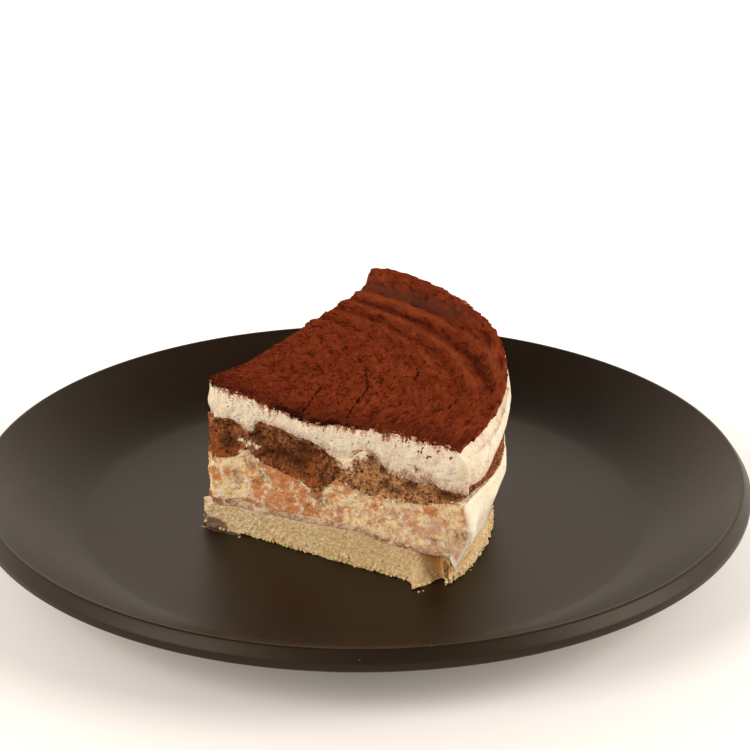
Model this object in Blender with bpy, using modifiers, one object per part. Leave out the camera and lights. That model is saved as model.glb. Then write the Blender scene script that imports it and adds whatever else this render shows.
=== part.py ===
"""A quarter of a layered coffee and cream cake on a round stoneware plate.

The plate is centred on the origin and its foot stands on z = 0. The slice
points to -X: its front cut face looks towards -Y, its back cut face towards
+Y, and the cake's outer rim curves round the +X side. Lengths below are in
millimetres and angles in degrees, and each vertex is scaled to metres when
it is placed.
"""

import math

import bmesh
import bpy
from mathutils import Vector, noise

MM = 0.001
GAP = 0.3

# Plate
PLATE_STEPS = 64
PLATE_FLOOR = 7.0
FLOOR_RADIUS = 73.0
CREST_RADIUS = 99.0
CREST_HEIGHT = 20.0
CREST_ROUND = 0.9
COUPE_POWER = 1.5
EDGE_RADIUS = 101.5
EDGE_HEIGHT = 17.0
LIP_RADIUS = 101.2
LIP_HEIGHT = 14.8
UNDERSIDE = 2.0
UNDERSIDE_SLOPE = ((96.5, 12.9), (84.0, 6.6), (70.0, 2.3))
FOOT_OUTER = 62.5
FOOT_INNER = 58.5
FOOT_SLANT = 0.5
SLOPE_POINTS = 5
CREST_TURNS = (135, 90, 45)

# Slice in plan: a wedge from its tip to a rim that is part of a circle
TIP = Vector((-41.4, -6.8))
TIP_WIDTH = 2.6
FRONT_ANGLE = -29.0
BACK_ANGLE = 60.0
CAKE_CENTRE = TIP + Vector((-15.0, 9.0))
SHARED_RADIUS = 88.4

# Outer radius of each layer about the cake's centre, at its foot and its head
BASE_RADII = (90.4, 90.8)
INNER_RADII = (90.0, 90.0)
COAT_RADII = (91.5, 94.0)
COFFEE_RADII = (92.8, 93.0)
CREAM_RADII = (94.5, 94.4)
COCOA_RADII = (92.6, 94.2)
COCOA_WIDENS = (-15.0, 15.0)

# Mesh of every layer, shared so that touching layers keep their gap
COLUMNS = 26
RIM_COLUMNS = 2
ROWS = 12
COAT_ROWS = 24

# Heights along the front cut, as (distance from the tip, height) pairs
BASE_TOP = ((0, 13.5), (10, 14.7), (30, 15.0), (46, 16.1), (55, 14.5), (80, 15.0))
SEAM_TOP = ((0, 15.4), (10, 17.0), (20, 16.4), (45, 17.4), (55, 15.6), (80, 16.1))
COFFEE_FOOT = (
    (0, 26.3), (6, 27.4), (14, 30.6), (21, 27.8), (29, 26.3), (34, 24.0),
    (40, 28.9), (48, 26.8), (62, 27.2), (72, 29.4), (80, 30.2),
)
COFFEE_HEAD = (
    (0, 38.3), (9, 39.1), (14, 37.2), (18, 40.2), (32, 38.4), (42, 35.2),
    (49, 38.6), (56, 34.6), (66, 33.9), (74, 33.0), (80, 33.0),
)
RIM_LIFT = 1.6
RIM_LIFT_TURN = 25.0
RIM_LIFT_FROM = 55.0
RIM_LIFT_REACH = 25.0
FRONT_TOP = (
    (0, 48.4), (14, 47.9), (22, 45.9), (31, 44.3), (43, 45.6), (58, 46.8),
    (70, 46.4), (80, 45.0),
)

# How the heights at the back cut follow those of the front cut
BACK_SQUEEZE = 0.84
BACK_SHIFT = 2.0
BACK_SHARE = 0.75

# Top surface away from the front cut
TOP_LEVEL = 45.2
TIP_RISE = 3.0
TIP_RISE_REACH = 14.0
FRONT_BLEND = 24.0
RIDGE_HEIGHT = 4.6
RIDGE_INSET = 3.6
RIDGE_WIDTH = 4.6
RIDGE_FADE = (10.0, 40.0)
RIPPLES = ((18.0, 0.75), (26.5, 0.55), (35.0, 0.4))
RIPPLE_WIDTH = 3.0
RIPPLE_TURN = 50.0
SHOULDER_DROP = 2.6
SHOULDER_REACH = 4.5
SHOULDER_LOSS = 0.6
COCOA_DEPTH = 1.1

# Relief of the cut faces
CRUMB_RELIEF = 0.55
CRUMB_SCALE = 0.23
CREAM_RELIEF = 0.35
CREAM_SCALE = 0.11
CREAM_BOW = 0.4
LAYER_WAVE = 0.35
LAYER_WAVE_SCALE = 0.06
FOOT_SPREAD = 2.2
FOOT_SPREAD_FROM = 15.0
FOOT_SPREAD_TO = 58.0
TIP_SPREAD = 1.6
NOTCH_FOOT = 69.6
NOTCH_HEAD = 66.4
NOTCH_WIDTH = 2.2
NOTCH_DEPTH = 5.5
SPUR_PLACE = 65.5
SPUR_WIDTH = 1.8
SPUR = Vector((2.0, -3.8))
CORNER_RECESS = 1.2
CORNER_REACH = 7.0
CORNER_TURN = 3.4
COAT_TIP_DROP = 4.6
COAT_TIP_REACH = 5.5
COAT_SWELL = 1.4

# Seeds of the noise
BASE_SEED = 3.1
COFFEE_FOOT_SEED = 7.7
COFFEE_HEAD_SEED = 9.3
WALL_SEED = 2.0
CREAM_CRUMB_SEED = 4.0
BASE_CRUMB_SEED = 8.0

COLOURS = {
    "plate": ((0.075, 0.066, 0.052), 0.42),
    "base_sponge": ((0.72, 0.52, 0.24), 0.9),
    "coffee_seam": ((0.30, 0.16, 0.09), 0.8),
    "stained_cream": ((0.78, 0.50, 0.29), 0.7),
    "coffee_sponge": ((0.16, 0.065, 0.022), 0.85),
    "rim_cream": ((0.84, 0.74, 0.58), 0.6),
    "upper_cream": ((0.85, 0.76, 0.62), 0.6),
    "cocoa": ((0.17, 0.040, 0.014), 0.95),
}


def lerp(a, b, t):
    return a + (b - a) * t


def ease(t):
    """0 to 1 with level ends."""
    t = min(max(t, 0.0), 1.0)
    return t * t * (3 - 2 * t)


def hump(x, place, width):
    """A bell of height 1 at its place."""
    return math.exp(-(((x - place) / width) ** 2))


def along(pairs, x):
    """The height at x on an eased line through the pairs."""
    if x <= pairs[0][0]:
        return pairs[0][1]
    for (x0, z0), (x1, z1) in zip(pairs, pairs[1:]):
        if x <= x1:
            return lerp(z0, z1, ease((x - x0) / (x1 - x0)))
    return pairs[-1][1]


def ruffle(x, y, z, scale, seed):
    """Smooth noise from -1 to 1."""
    return noise.noise(Vector((x * scale + seed, y * scale - seed, z * scale)))


def rim_distance(angle, radius):
    """How far the rim circle lies from the tip in this direction."""
    way = Vector((math.cos(math.radians(angle)), math.sin(math.radians(angle))))
    offset = TIP - CAKE_CENTRE
    half = way.dot(offset)
    return -half + math.sqrt(half * half - offset.length_squared + radius * radius)


def plan(angle, distance):
    """The point in plan at a distance from the tip."""
    way = Vector((math.cos(math.radians(angle)), math.sin(math.radians(angle))))
    return TIP + way * distance


def boundary(pairs, angle, distance, seed):
    """A layer's height: the front cut's line, flatter and shifted towards the back cut."""
    across = ease((angle - FRONT_ANGLE) / (BACK_ANGLE - FRONT_ANGLE))
    mean = sum(z for _, z in pairs) / len(pairs)
    back = lerp(mean, along(pairs, distance * BACK_SQUEEZE + BACK_SHIFT), BACK_SHARE)
    place = plan(angle, distance)
    wave = LAYER_WAVE * ruffle(place.x, place.y, 0, LAYER_WAVE_SCALE, seed)
    return lerp(along(pairs, distance), back, across) + wave


def top_height(angle, distance):
    """The cocoa's surface: a raised tip, ripples that follow the rim and a ridge along it."""
    inset = rim_distance(angle, CREAM_RADII[1]) - distance
    strength = ease((angle - RIDGE_FADE[0]) / (RIDGE_FADE[1] - RIDGE_FADE[0]))
    level = TOP_LEVEL + TIP_RISE * hump(distance, 0, TIP_RISE_REACH)
    level += RIDGE_HEIGHT * strength * hump(inset, RIDGE_INSET, RIDGE_WIDTH)
    turned = ease((angle - FRONT_ANGLE) / RIPPLE_TURN)
    for place, height in RIPPLES:
        level += height * turned * hump(inset, place, RIPPLE_WIDTH)
    near_front = 1 - ease((angle - FRONT_ANGLE) / FRONT_BLEND)
    return lerp(level, along(FRONT_TOP, distance), near_front)


def rim_lift(angle, distance):
    """The coffee layer climbs along the rim, away from the front corner."""
    turned = ease((angle - FRONT_ANGLE) / RIM_LIFT_TURN)
    return RIM_LIFT * turned * ease((distance - RIM_LIFT_FROM) / RIM_LIFT_REACH)


def base_top(angle, distance):
    return boundary(BASE_TOP, angle, distance, BASE_SEED)


def seam_top(angle, distance):
    return boundary(SEAM_TOP, angle, distance, BASE_SEED)


def coffee_foot(angle, distance):
    lift = rim_lift(angle, distance)
    return boundary(COFFEE_FOOT, angle, distance, COFFEE_FOOT_SEED) + lift


def coffee_head(angle, distance):
    lift = rim_lift(angle, distance)
    return boundary(COFFEE_HEAD, angle, distance, COFFEE_HEAD_SEED) + lift


def widening(angle):
    """0 where the cocoa stops short of the front corner's rim, 1 where it reaches the rim."""
    return ease((angle - COCOA_WIDENS[0]) / (COCOA_WIDENS[1] - COCOA_WIDENS[0]))


def cream_top(angle, distance):
    """The upper cream's head, which rounds over outside the cocoa."""
    inset = rim_distance(angle, CREAM_RADII[1]) - distance
    kept = 1 - SHOULDER_LOSS * widening(angle)
    drop = SHOULDER_DROP * kept * ease(1 - inset / SHOULDER_REACH)
    return top_height(angle, distance) - COCOA_DEPTH - 2 * GAP - drop


def shading(name):
    """The piece's own material."""
    colour, roughness = COLOURS[name]
    material = bpy.data.materials.new(name)
    material.use_nodes = True
    shader = material.node_tree.nodes["Principled BSDF"]
    shader.inputs["Base Color"].default_value = (*colour, 1)
    shader.inputs["Roughness"].default_value = roughness
    return material


def new_object(name, mesh, collection):
    mesh.materials.append(shading(name))
    piece = bpy.data.objects.new(name, mesh)
    collection.objects.link(piece)
    return piece


def block(columns, rows, courses):
    """A unit cube cut into columns along X, rows along Y and courses along Z."""
    mesh = bmesh.new()
    bmesh.ops.create_cube(mesh, size=1)
    bmesh.ops.translate(mesh, verts=mesh.verts, vec=(0.5, 0.5, 0.5))
    for axis, parts in enumerate((columns, rows, courses)):
        if parts == 1:
            continue
        along_axis = [
            edge for edge in mesh.edges
            if abs((edge.verts[0].co - edge.verts[1].co)[axis]) > 0.5
        ]
        bmesh.ops.subdivide_edges(mesh, edges=along_axis, cuts=parts - 1, use_grid_fill=True)
    return mesh


def wall_normal(angle, u, v):
    """The way out of the slice at its cut faces and its rim, and nothing inside."""
    out = Vector((0.0, 0.0))
    if v < 0.001:
        out += plan(FRONT_ANGLE - 90, 1) - TIP
    if v > 0.999:
        out += plan(BACK_ANGLE + 90, 1) - TIP
    if u > 0.999:
        out += plan(angle, 1) - TIP
    if u < 0.001:
        out -= plan(angle, 1) - TIP
    return out.normalized() if out.length else out


def leaning(radii):
    """A layer's outer radius, as a function of the angle and of how far up the layer it is."""
    return lambda angle, w: lerp(radii[0], radii[1], w)


def cocoa_radius(angle, w):
    return lerp(COCOA_RADII[0], COCOA_RADII[1], widening(angle))


def reach_of(column, angle, radius):
    """Distance of a column from the tip: even up to the shared radius, then out to the rim."""
    inner = rim_distance(angle, SHARED_RADIUS)
    if column <= COLUMNS:
        return lerp(TIP_WIDTH, inner, column / COLUMNS)
    return lerp(inner, rim_distance(angle, radius), (column - COLUMNS) / RIM_COLUMNS)


def shared_relief(point):
    """The cut faces' slow waviness, the same for every layer so that they keep their gap."""
    return CREAM_RELIEF * ruffle(*point, CREAM_SCALE, WALL_SEED)


def crumb_relief(point, seed):
    return CRUMB_RELIEF * ruffle(*point, CRUMB_SCALE, seed)


def layer(name, foot, head, radius_of, courses, bulge, collection):
    """One layer of the slice between two heights, which are functions of angle and distance."""
    all_columns = COLUMNS + RIM_COLUMNS
    mesh = block(all_columns, ROWS, courses)
    for vert in mesh.verts:
        u, v, w = vert.co
        angle = lerp(FRONT_ANGLE, BACK_ANGLE, v)
        distance = reach_of(round(u * all_columns), angle, radius_of(angle, w))
        z = lerp(foot(angle, distance), head(angle, distance), w)
        place = plan(angle, distance)
        point = (place.x, place.y, z)
        out = wall_normal(angle, u, v)
        place += out * shared_relief(point) + bulge(point, angle, distance, w, out)
        vert.co = Vector((place.x, place.y, z)) * MM
    return finish(name, mesh, collection)


def finish(name, mesh, collection):
    bmesh.ops.recalc_face_normals(mesh, faces=mesh.faces)
    data = bpy.data.meshes.new(name)
    mesh.to_mesh(data)
    mesh.free()
    return new_object(name, data, collection)


def no_bulge(point, angle, distance, w, out):
    return out * 0.0


def crumbly(point, angle, distance, w, out):
    """Coarse crumb that fades out where the layer meets its neighbours."""
    return out * crumb_relief(point, CREAM_CRUMB_SEED) * math.sin(math.pi * w)


def bowed(point, angle, distance, w, out):
    """A wall that stands a little proud half way up."""
    return out * CREAM_BOW * math.sin(math.pi * w)


def base_bulge(point, angle, distance, w, out):
    """The sponge base spreads at its foot, is torn open near the corner and keeps a crumb spur."""
    if distance < TIP_WIDTH + 0.01:
        return out * TIP_SPREAD
    crumbs = crumb_relief(point, BASE_CRUMB_SEED) * (1 - w * w)
    from_corner = rim_distance(angle, BASE_RADII[0]) * math.radians(angle - FRONT_ANGLE)
    corner = -CORNER_RECESS * hump(from_corner, 0, CORNER_REACH)
    if angle > FRONT_ANGLE + 0.1:
        return out * (crumbs + corner)
    notch = lerp(NOTCH_FOOT, NOTCH_HEAD, w)
    if distance > notch + NOTCH_WIDTH:
        return out * (corner - CORNER_TURN * (1 - w))
    reach = (distance - FOOT_SPREAD_FROM) / (FOOT_SPREAD_TO - FOOT_SPREAD_FROM)
    spread = FOOT_SPREAD * (1 - w) * ease(reach)
    torn = -NOTCH_DEPTH * hump(distance, notch, NOTCH_WIDTH)
    spur = SPUR * hump(distance, SPUR_PLACE, SPUR_WIDTH) * (1 - w) ** 2
    return out * (crumbs + spread + torn) + spur


def plate_floor(angle, distance):
    return PLATE_FLOOR + GAP


def above(height):
    """The same height function, a gap higher."""
    return lambda angle, distance: height(angle, distance) + GAP


def stained_head(angle, distance):
    return coffee_foot(angle, distance) - 2 * GAP


def cocoa_foot(angle, distance):
    return top_height(angle, distance) - COCOA_DEPTH


def make_layers(collection):
    inner = leaning(INNER_RADII)
    coffee = leaning(COFFEE_RADII)
    cream = leaning(CREAM_RADII)
    layer("base_sponge", plate_floor, base_top, leaning(BASE_RADII), 3, base_bulge, collection)
    layer("coffee_seam", above(base_top), seam_top, inner, 1, no_bulge, collection)
    layer("stained_cream", above(seam_top), stained_head, inner, 3, crumbly, collection)
    layer("coffee_sponge", coffee_foot, coffee_head, coffee, 3, crumbly, collection)
    layer("upper_cream", above(coffee_head), cream_top, cream, 3, bowed, collection)
    layer("cocoa", cocoa_foot, top_height, cocoa_radius, 1, no_bulge, collection)


def make_rim_cream(collection):
    """The coat of cream round the rim of the lower half, which sags to a point at the front corner."""
    mesh = block(1, COAT_ROWS, 4)
    inner = INNER_RADII[0] + 2 * GAP
    for vert in mesh.verts:
        u, v, w = vert.co
        angle = lerp(FRONT_ANGLE, BACK_ANGLE, v)
        rim = rim_distance(angle, SHARED_RADIUS)
        from_corner = rim * math.radians(angle - FRONT_ANGLE)
        low = base_top(angle, rim) + 2 * GAP
        sag = COAT_TIP_DROP * hump(from_corner, 0, COAT_TIP_REACH)
        head = coffee_foot(angle, rim) - 2 * GAP
        z = lerp(low - sag * u, head, w)
        outer = lerp(COAT_RADII[0], COAT_RADII[1], ease(w * COAT_SWELL))
        distance = rim_distance(angle, lerp(inner, outer, u))
        place = plan(angle, distance)
        point = (place.x, place.y, z)
        if u > 0.5:
            place += (plan(angle, 1) - TIP) * shared_relief(point)
        vert.co = Vector((place.x, place.y, z)) * MM
    return finish("rim_cream", mesh, collection)


def plate_profile():
    """Half of the plate's section, from the middle of its floor over the rim to its underside."""
    points = [(0, PLATE_FLOOR), (FLOOR_RADIUS * 0.5, PLATE_FLOOR), (FLOOR_RADIUS, PLATE_FLOOR)]
    slope_end = CREST_RADIUS - CREST_ROUND
    for step in range(1, SLOPE_POINTS + 1):
        t = step / (SLOPE_POINTS + 1)
        rise = (CREST_HEIGHT - PLATE_FLOOR) * t ** COUPE_POWER
        points.append((lerp(FLOOR_RADIUS, slope_end, t), PLATE_FLOOR + rise))
    middle = (CREST_RADIUS, CREST_HEIGHT - CREST_ROUND)
    for turn in CREST_TURNS:
        points.append((
            middle[0] + CREST_ROUND * math.cos(math.radians(turn)),
            middle[1] + CREST_ROUND * math.sin(math.radians(turn)),
        ))
    points += [(EDGE_RADIUS, EDGE_HEIGHT), (LIP_RADIUS, LIP_HEIGHT)]
    points += UNDERSIDE_SLOPE
    points += [(FOOT_OUTER + FOOT_SLANT, UNDERSIDE), (FOOT_OUTER, 0), (FOOT_INNER, 0)]
    points += [(FOOT_INNER - FOOT_SLANT, UNDERSIDE), (0, UNDERSIDE)]
    return points


def make_plate(collection):
    """A turned coupe plate on a foot ring."""
    outline = bmesh.new()
    verts = [outline.verts.new((x * MM, 0, z * MM)) for x, z in plate_profile()]
    for first, second in zip(verts, verts[1:]):
        outline.edges.new((first, second))
    data = bpy.data.meshes.new("plate")
    outline.to_mesh(data)
    outline.free()
    plate = new_object("plate", data, collection)
    turn = plate.modifiers.new("turn", "SCREW")
    turn.steps = PLATE_STEPS
    turn.render_steps = PLATE_STEPS
    turn.use_merge_vertices = True
    turn.merge_threshold = 0.00005
    turn.use_smooth_shade = True
    return plate


def clear_scene():
    for old in list(bpy.data.objects):
        bpy.data.objects.remove(old)


def main():
    clear_scene()
    collection = bpy.data.collections.new("cake_slice_on_plate")
    bpy.context.scene.collection.children.link(collection)
    make_plate(collection)
    make_layers(collection)
    make_rim_cream(collection)


main()
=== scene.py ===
"""A quarter of a layered coffee and cream cake on a satin stoneware plate.

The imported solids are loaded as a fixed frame. Every layer is then modelled again, finely, in the
place of its solid: the same heights and outlines, with the crumb, the torn cream and the powder
that a solid leaves out. Lengths are in millimetres and angles in degrees, and each vertex is
scaled to metres when it is placed.
"""

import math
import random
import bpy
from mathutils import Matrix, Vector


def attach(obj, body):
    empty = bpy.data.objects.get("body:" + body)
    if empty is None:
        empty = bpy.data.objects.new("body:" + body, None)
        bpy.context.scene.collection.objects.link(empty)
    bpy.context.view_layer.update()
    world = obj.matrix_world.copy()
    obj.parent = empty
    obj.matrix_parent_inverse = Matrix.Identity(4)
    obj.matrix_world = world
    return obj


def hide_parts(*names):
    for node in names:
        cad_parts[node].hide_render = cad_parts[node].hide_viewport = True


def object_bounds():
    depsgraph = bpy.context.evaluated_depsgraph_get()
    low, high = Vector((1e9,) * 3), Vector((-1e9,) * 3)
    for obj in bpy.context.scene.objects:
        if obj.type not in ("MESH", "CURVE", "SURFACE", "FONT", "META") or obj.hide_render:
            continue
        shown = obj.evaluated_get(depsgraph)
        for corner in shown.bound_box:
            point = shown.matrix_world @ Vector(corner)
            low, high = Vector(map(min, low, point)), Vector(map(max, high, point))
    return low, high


bl_info = {
    "name": "Layered Coffee Cake on a Plate",
    "version": (1, 0, 0),
    "blender": (4, 5, 0),
    "location": "View3D > Sidebar > Cake",
    "description": "Models a slice of layered coffee cake and its plate around the packed solids",
    "category": "Add Mesh",
}

from collections import namedtuple

import bmesh
import bpy
from bpy.props import FloatProperty, FloatVectorProperty, IntProperty, PointerProperty
from mathutils import Matrix, Vector, noise
from mathutils.bvhtree import BVHTree

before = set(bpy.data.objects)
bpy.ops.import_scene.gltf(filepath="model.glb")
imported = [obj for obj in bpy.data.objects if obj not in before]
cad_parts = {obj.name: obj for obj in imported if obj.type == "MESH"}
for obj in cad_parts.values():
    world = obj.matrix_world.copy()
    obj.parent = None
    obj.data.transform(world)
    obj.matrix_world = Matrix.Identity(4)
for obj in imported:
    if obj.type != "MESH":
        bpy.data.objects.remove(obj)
CAD_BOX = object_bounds()

MM = 0.001

# Plate
PLATE_FLOOR = 7.0
FLOOR_RADIUS = 73.0
CREST_RADIUS = 99.0
CREST_HEIGHT = 20.0
CREST_ROUND = 0.9
COUPE_POWER = 1.5
EDGE_RADIUS = 101.5
EDGE_HEIGHT = 17.0
LIP_RADIUS = 101.2
LIP_HEIGHT = 14.8
UNDERSIDE = 2.0
UNDERSIDE_SLOPE = ((96.5, 12.9), (84.0, 6.6), (70.0, 2.3))
FOOT_OUTER = 62.5
FOOT_INNER = 58.5
FOOT_SLANT = 0.5

# Roundings of the plate's edge, lip, underside and foot ring, as (reach, steps)
PLATE_ROUNDS = ((0.5, 4), (0.6, 4), (2.0, 4), (5.0, 5), (3.0, 4), *((0.3, 3),) * 4)
CREST_STEPS = 8
CREST_TURN_END = 40
FLOOR_RINGS = (0, 0.3, 0.6, 0.8, 0.92, 1)

# Slice in plan: a wedge from its tip to a rim that is part of a circle
TIP = Vector((-41.4, -6.8))
TIP_WIDTH = 2.6
TIP_DRAW = 1.2
FRONT_ANGLE = -29.0
BACK_ANGLE = 60.0
CAKE_CENTRE = TIP + Vector((-15.0, 9.0))
MIDDLE = Vector((8.0, 8.0))

# Outer radius of each layer about the cake's centre, at its foot and its head
BASE_RADII = (90.4, 90.8)
INNER_RADII = (90.2, 90.2)
COAT_RADII = (91.5, 94.0)
COFFEE_RADII = (93.4, 93.8)
CREAM_RADII = (94.5, 94.4)
COCOA_RADII = (92.6, 94.4)
COCOA_WIDENS = (-15.0, 15.0)

# Heights along the front cut, as (distance from the tip, height) pairs
BASE_TOP = ((0, 13.5), (10, 14.7), (30, 15.0), (46, 16.1), (55, 14.5), (80, 15.0))
SEAM_TOP = ((0, 15.4), (10, 17.0), (20, 16.4), (45, 17.4), (55, 15.6), (80, 16.1))
COFFEE_FOOT = (
    (0, 26.3), (6, 27.4), (14, 30.6), (21, 27.8), (29, 26.3), (34, 24.0),
    (40, 28.9), (48, 26.8), (62, 27.2), (72, 29.4), (76, 31.4), (80, 32.4),
)
COFFEE_HEAD = (
    (0, 38.3), (9, 39.1), (14, 37.2), (18, 40.2), (32, 38.4), (42, 35.2),
    (49, 38.6), (56, 34.6), (66, 33.9), (74, 33.0), (80, 33.6),
)
RIM_LIFT = 1.6
RIM_LIFT_TURN = 25.0
RIM_LIFT_FROM = 55.0
RIM_LIFT_REACH = 25.0
FRONT_TOP = (
    (0, 48.4), (14, 47.9), (22, 45.9), (31, 44.3), (43, 45.6), (58, 46.8),
    (70, 46.4), (80, 45.0),
)

# How the heights at the back cut follow those of the front cut
BACK_SQUEEZE = 0.84
BACK_SHIFT = 2.0
BACK_SHARE = 0.75

# Top surface away from the front cut
TOP_LEVEL = 45.2
TIP_RISE = 3.0
TIP_RISE_REACH = 14.0
FRONT_BLEND = 24.0
RIDGE_HEIGHT = 4.6
RIDGE_SWIRL = -2.0
RIDGE_LEAST_INSET = 1.0
RIDGE_WIDTH = 3.4
RIDGE_OUTER_WIDTH = 8.0
RIDGE_FADE = (-2.0, 26.0)
RIPPLES = ((7.8, 0.9), (15.9, 0.75), (23.0, 0.55), (31.0, 0.35))
RIPPLE_WIDTH = 2.6
RIPPLE_TURN = 50.0
# Valleys between the ripples, where shade is painted on the cocoa, as (place, depth)
VALLEYS = ((11.9, 1.0), (19.5, 0.8), (27.0, 0.5))
TROUGH_SWIRL = 3.0
TROUGH_WIDTH = 2.0
TROUGH_FROM = 22
TROUGH_TURN = 18

# The ripples drift inwards along the rim, by this many millimetres a degree from this angle
SWIRL = 0.23
SWIRL_ANGLE = 30.0
SHOULDER_DROP = 2.6
SHOULDER_REACH = 4.5
SHOULDER_LOSS = 0.6
COCOA_DEPTH = 0.7
HIGHEST = CAD_BOX[1][2] / MM - 0.05
HIGHEST_REACH = 0.7

# Slow waviness of the walls and of the heights
CREAM_RELIEF = 0.35
CREAM_SCALE = 0.11
LAYER_WAVE = 0.35
LAYER_WAVE_SCALE = 0.06
BASE_SEED = 3.1
COFFEE_FOOT_SEED = 7.7
COFFEE_HEAD_SEED = 9.3
WALL_SEED = 2.0

# Sponge base
FOOT_SPREAD = 2.2
FOOT_SPREAD_FROM = 15.0
FOOT_SPREAD_TO = 58.0
TIP_SPREAD = 1.6
NOTCH_FOOT = 69.6
NOTCH_HEAD = 66.4
NOTCH_WIDTH = 2.2
NOTCH_DEPTH = 5.5
SPUR_PLACE = 65.5
SPUR_WIDTH = 1.8
SPUR = Vector((2.0, -3.8))
CORNER_RECESS = 1.2
CORNER_REACH = 7.0
CORNER_TURN = 3.4

# Coat of cream round the rim
COAT_TIP_DROP = 3.6
COAT_TIP_REACH = 4.2
COAT_BULGE_REACH = 5.5
COAT_SWELL = 1.4
COAT_CORNER_BULGE = 2.6
CREAM_CORNER_RECESS = 2.4

# Band of coffee sponge on the rim, whose fades are (from angle, turn, from distance, run)
RIM_BAND_LIFT = 2.6
RIM_BAND_HEAD = (-20, 8, 66, 8)
RIM_BAND_DIP = 5.0
RIM_BAND_FOOT = (-27, 22, 68, 10)

# Spots on the front cut: distance from the tip, height, half length, half height
CREAM_IN_COFFEE = (
    (12.0, 34.0, 1.5, 1.0), (14.4, 33.4, 1.5, 0.9), (16.6, 33.2, 1.4, 0.9),
    (14.2, 38.2, 1.6, 1.3), (38.5, 37.6, 1.6, 1.6), (43.2, 35.0, 2.6, 3.2),
    (47.0, 37.4, 1.5, 1.5), (12.8, 30.6, 2.0, 0.9),
)
DARK_IN_COFFEE = (
    (8.0, 32.2, 2.6, 2.4), (16.4, 36.4, 2.0, 1.9), (28.6, 31.8, 3.6, 2.2),
    (31.0, 35.4, 3.0, 2.2), (24.0, 33.0, 3.0, 2.0), (20.0, 32.6, 2.0, 1.6),
    (71.5, 32.2, 3.4, 1.8), (61.0, 32.2, 2.0, 1.4), (50.8, 37.6, 1.6, 1.5),
    (46.0, 37.0, 1.0, 1.6), (54.4, 35.2, 1.8, 1.4), (40.0, 35.4, 1.5, 1.3),
    (57.0, 29.8, 1.5, 1.0), (54.4, 31.0, 1.5, 1.0),
)
ORANGE_IN_COFFEE = (
    (3.0, 36.2, 1.4, 2.0), (4.2, 33.4, 1.4, 1.8), (4.6, 29.2, 2.2, 1.9),
    (9.0, 30.6, 3.0, 0.9), (27.0, 27.4, 4.0, 1.3), (32.6, 30.8, 1.3, 2.8),
    (33.0, 26.6, 1.6, 2.2), (60.0, 27.6, 2.4, 0.9), (72.4, 29.8, 2.4, 0.9),
)
ORANGE_IN_CREAM = (
    (3.2, 22.8, 1.6, 2.4), (7.4, 23.6, 1.1, 1.0), (16.2, 21.8, 1.8, 1.6),
    (18.4, 19.4, 3.0, 1.8), (27.4, 19.8, 4.0, 1.6), (24.6, 24.6, 1.8, 1.2),
    (31.4, 18.2, 1.2, 1.4), (38.6, 28.6, 3.0, 1.5), (42.6, 26.6, 1.6, 2.0),
    (43.4, 28.6, 1.8, 1.2), (56.8, 24.2, 1.4, 0.9), (66.8, 26.0, 1.8, 1.0),
    (76.6, 28.8, 1.4, 1.6), (14.6, 16.9, 2.4, 0.9), (51.0, 24.2, 2.2, 1.0),
)
BROWN_IN_CREAM = (
    (9.9, 24.4, 1.1, 1.3), (14.9, 27.2, 1.5, 1.7), (18.3, 25.6, 1.9, 1.9),
    (16.2, 23.3, 1.3, 0.9), (33.6, 24.2, 1.4, 2.4), (35.4, 22.4, 1.6, 1.9),
    (67.6, 18.9, 1.4, 0.7), (76.6, 22.2, 1.6, 1.2), (74.6, 21.4, 1.2, 1.5),
    (48.2, 28.8, 3.0, 1.4),
)
PINK_IN_CREAM = (
    (58.4, 22.8, 3.4, 1.8), (64.6, 20.2, 2.6, 1.5), (71.0, 17.6, 3.4, 1.6),
    (74.4, 17.4, 2.2, 2.6), (40.0, 20.2, 3.2, 1.3), (35.0, 19.2, 2.6, 1.0),
    (10.2, 22.0, 2.0, 1.5), (68.4, 23.0, 2.6, 1.7), (48.4, 21.2, 2.4, 1.2),
)
BROWN_IN_SEAM = (
    (3.4, 15.4, 2.4, 1.3), (7.8, 15.7, 0.9, 0.8), (16.0, 16.8, 2.4, 0.7),
    (53.4, 16.2, 2.6, 1.3), (59.6, 15.0, 2.2, 0.7),
)
BROWN_IN_TOP = ((46.0, 38.0, 1.0, 1.0), (50.4, 38.2, 1.2, 1.0), (63.3, 37.3, 0.5, 0.9))
# A hollow on the front cut, in the same columns, where shade is painted on the cream
HOLLOW_SHADE_IN_TOP = ((77.2, 38.6, 2.2, 2.0),)

# Larger cocoa flakes on the front cut: distance from the tip, height, length, slant
FLAKES = (
    (54.2, 44.4, 2.2, -30), (64.4, 42.6, 2.6, -38), (66.4, 41.4, 1.8, -50), (63.3, 37.3, 1.1, -70),
    (49.6, 41.7, 0.8, 10), (45.4, 44.5, 1.4, -20), (36.6, 42.4, 1.2, 0), (60.0, 44.4, 1.6, -10),
    (43.0, 43.4, 0.9, 30), (57.2, 42.2, 0.9, 15), (69.0, 43.4, 1.3, -40), (72.6, 42.2, 1.6, -20),
)

# Cracks in the cocoa, as the plan points that they run through
CRACKS = (
    ((1.1, 4.5), (1.5, -5.1), (-0.7, -12.3), (-3.9, -24.9)),
    ((-10.4, -3.6), (-12.5, -10.8), (-15.2, -19.3)),
    ((14.6, 5.0), (13.5, -1.5)),
    ((24.2, -12.3), (21.7, -19.4), (18.9, -21.5)),
    ((10.1, -26.3), (7.6, -29.1)),
    ((-22.2, -0.7), (-17.6, -2.1)),
)
CRACK_WIDTH = 0.18

# How far round the cake's centre counts in the cocoa's noise, in millimetres a radian
SWEEP_LENGTH = 27.0

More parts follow.
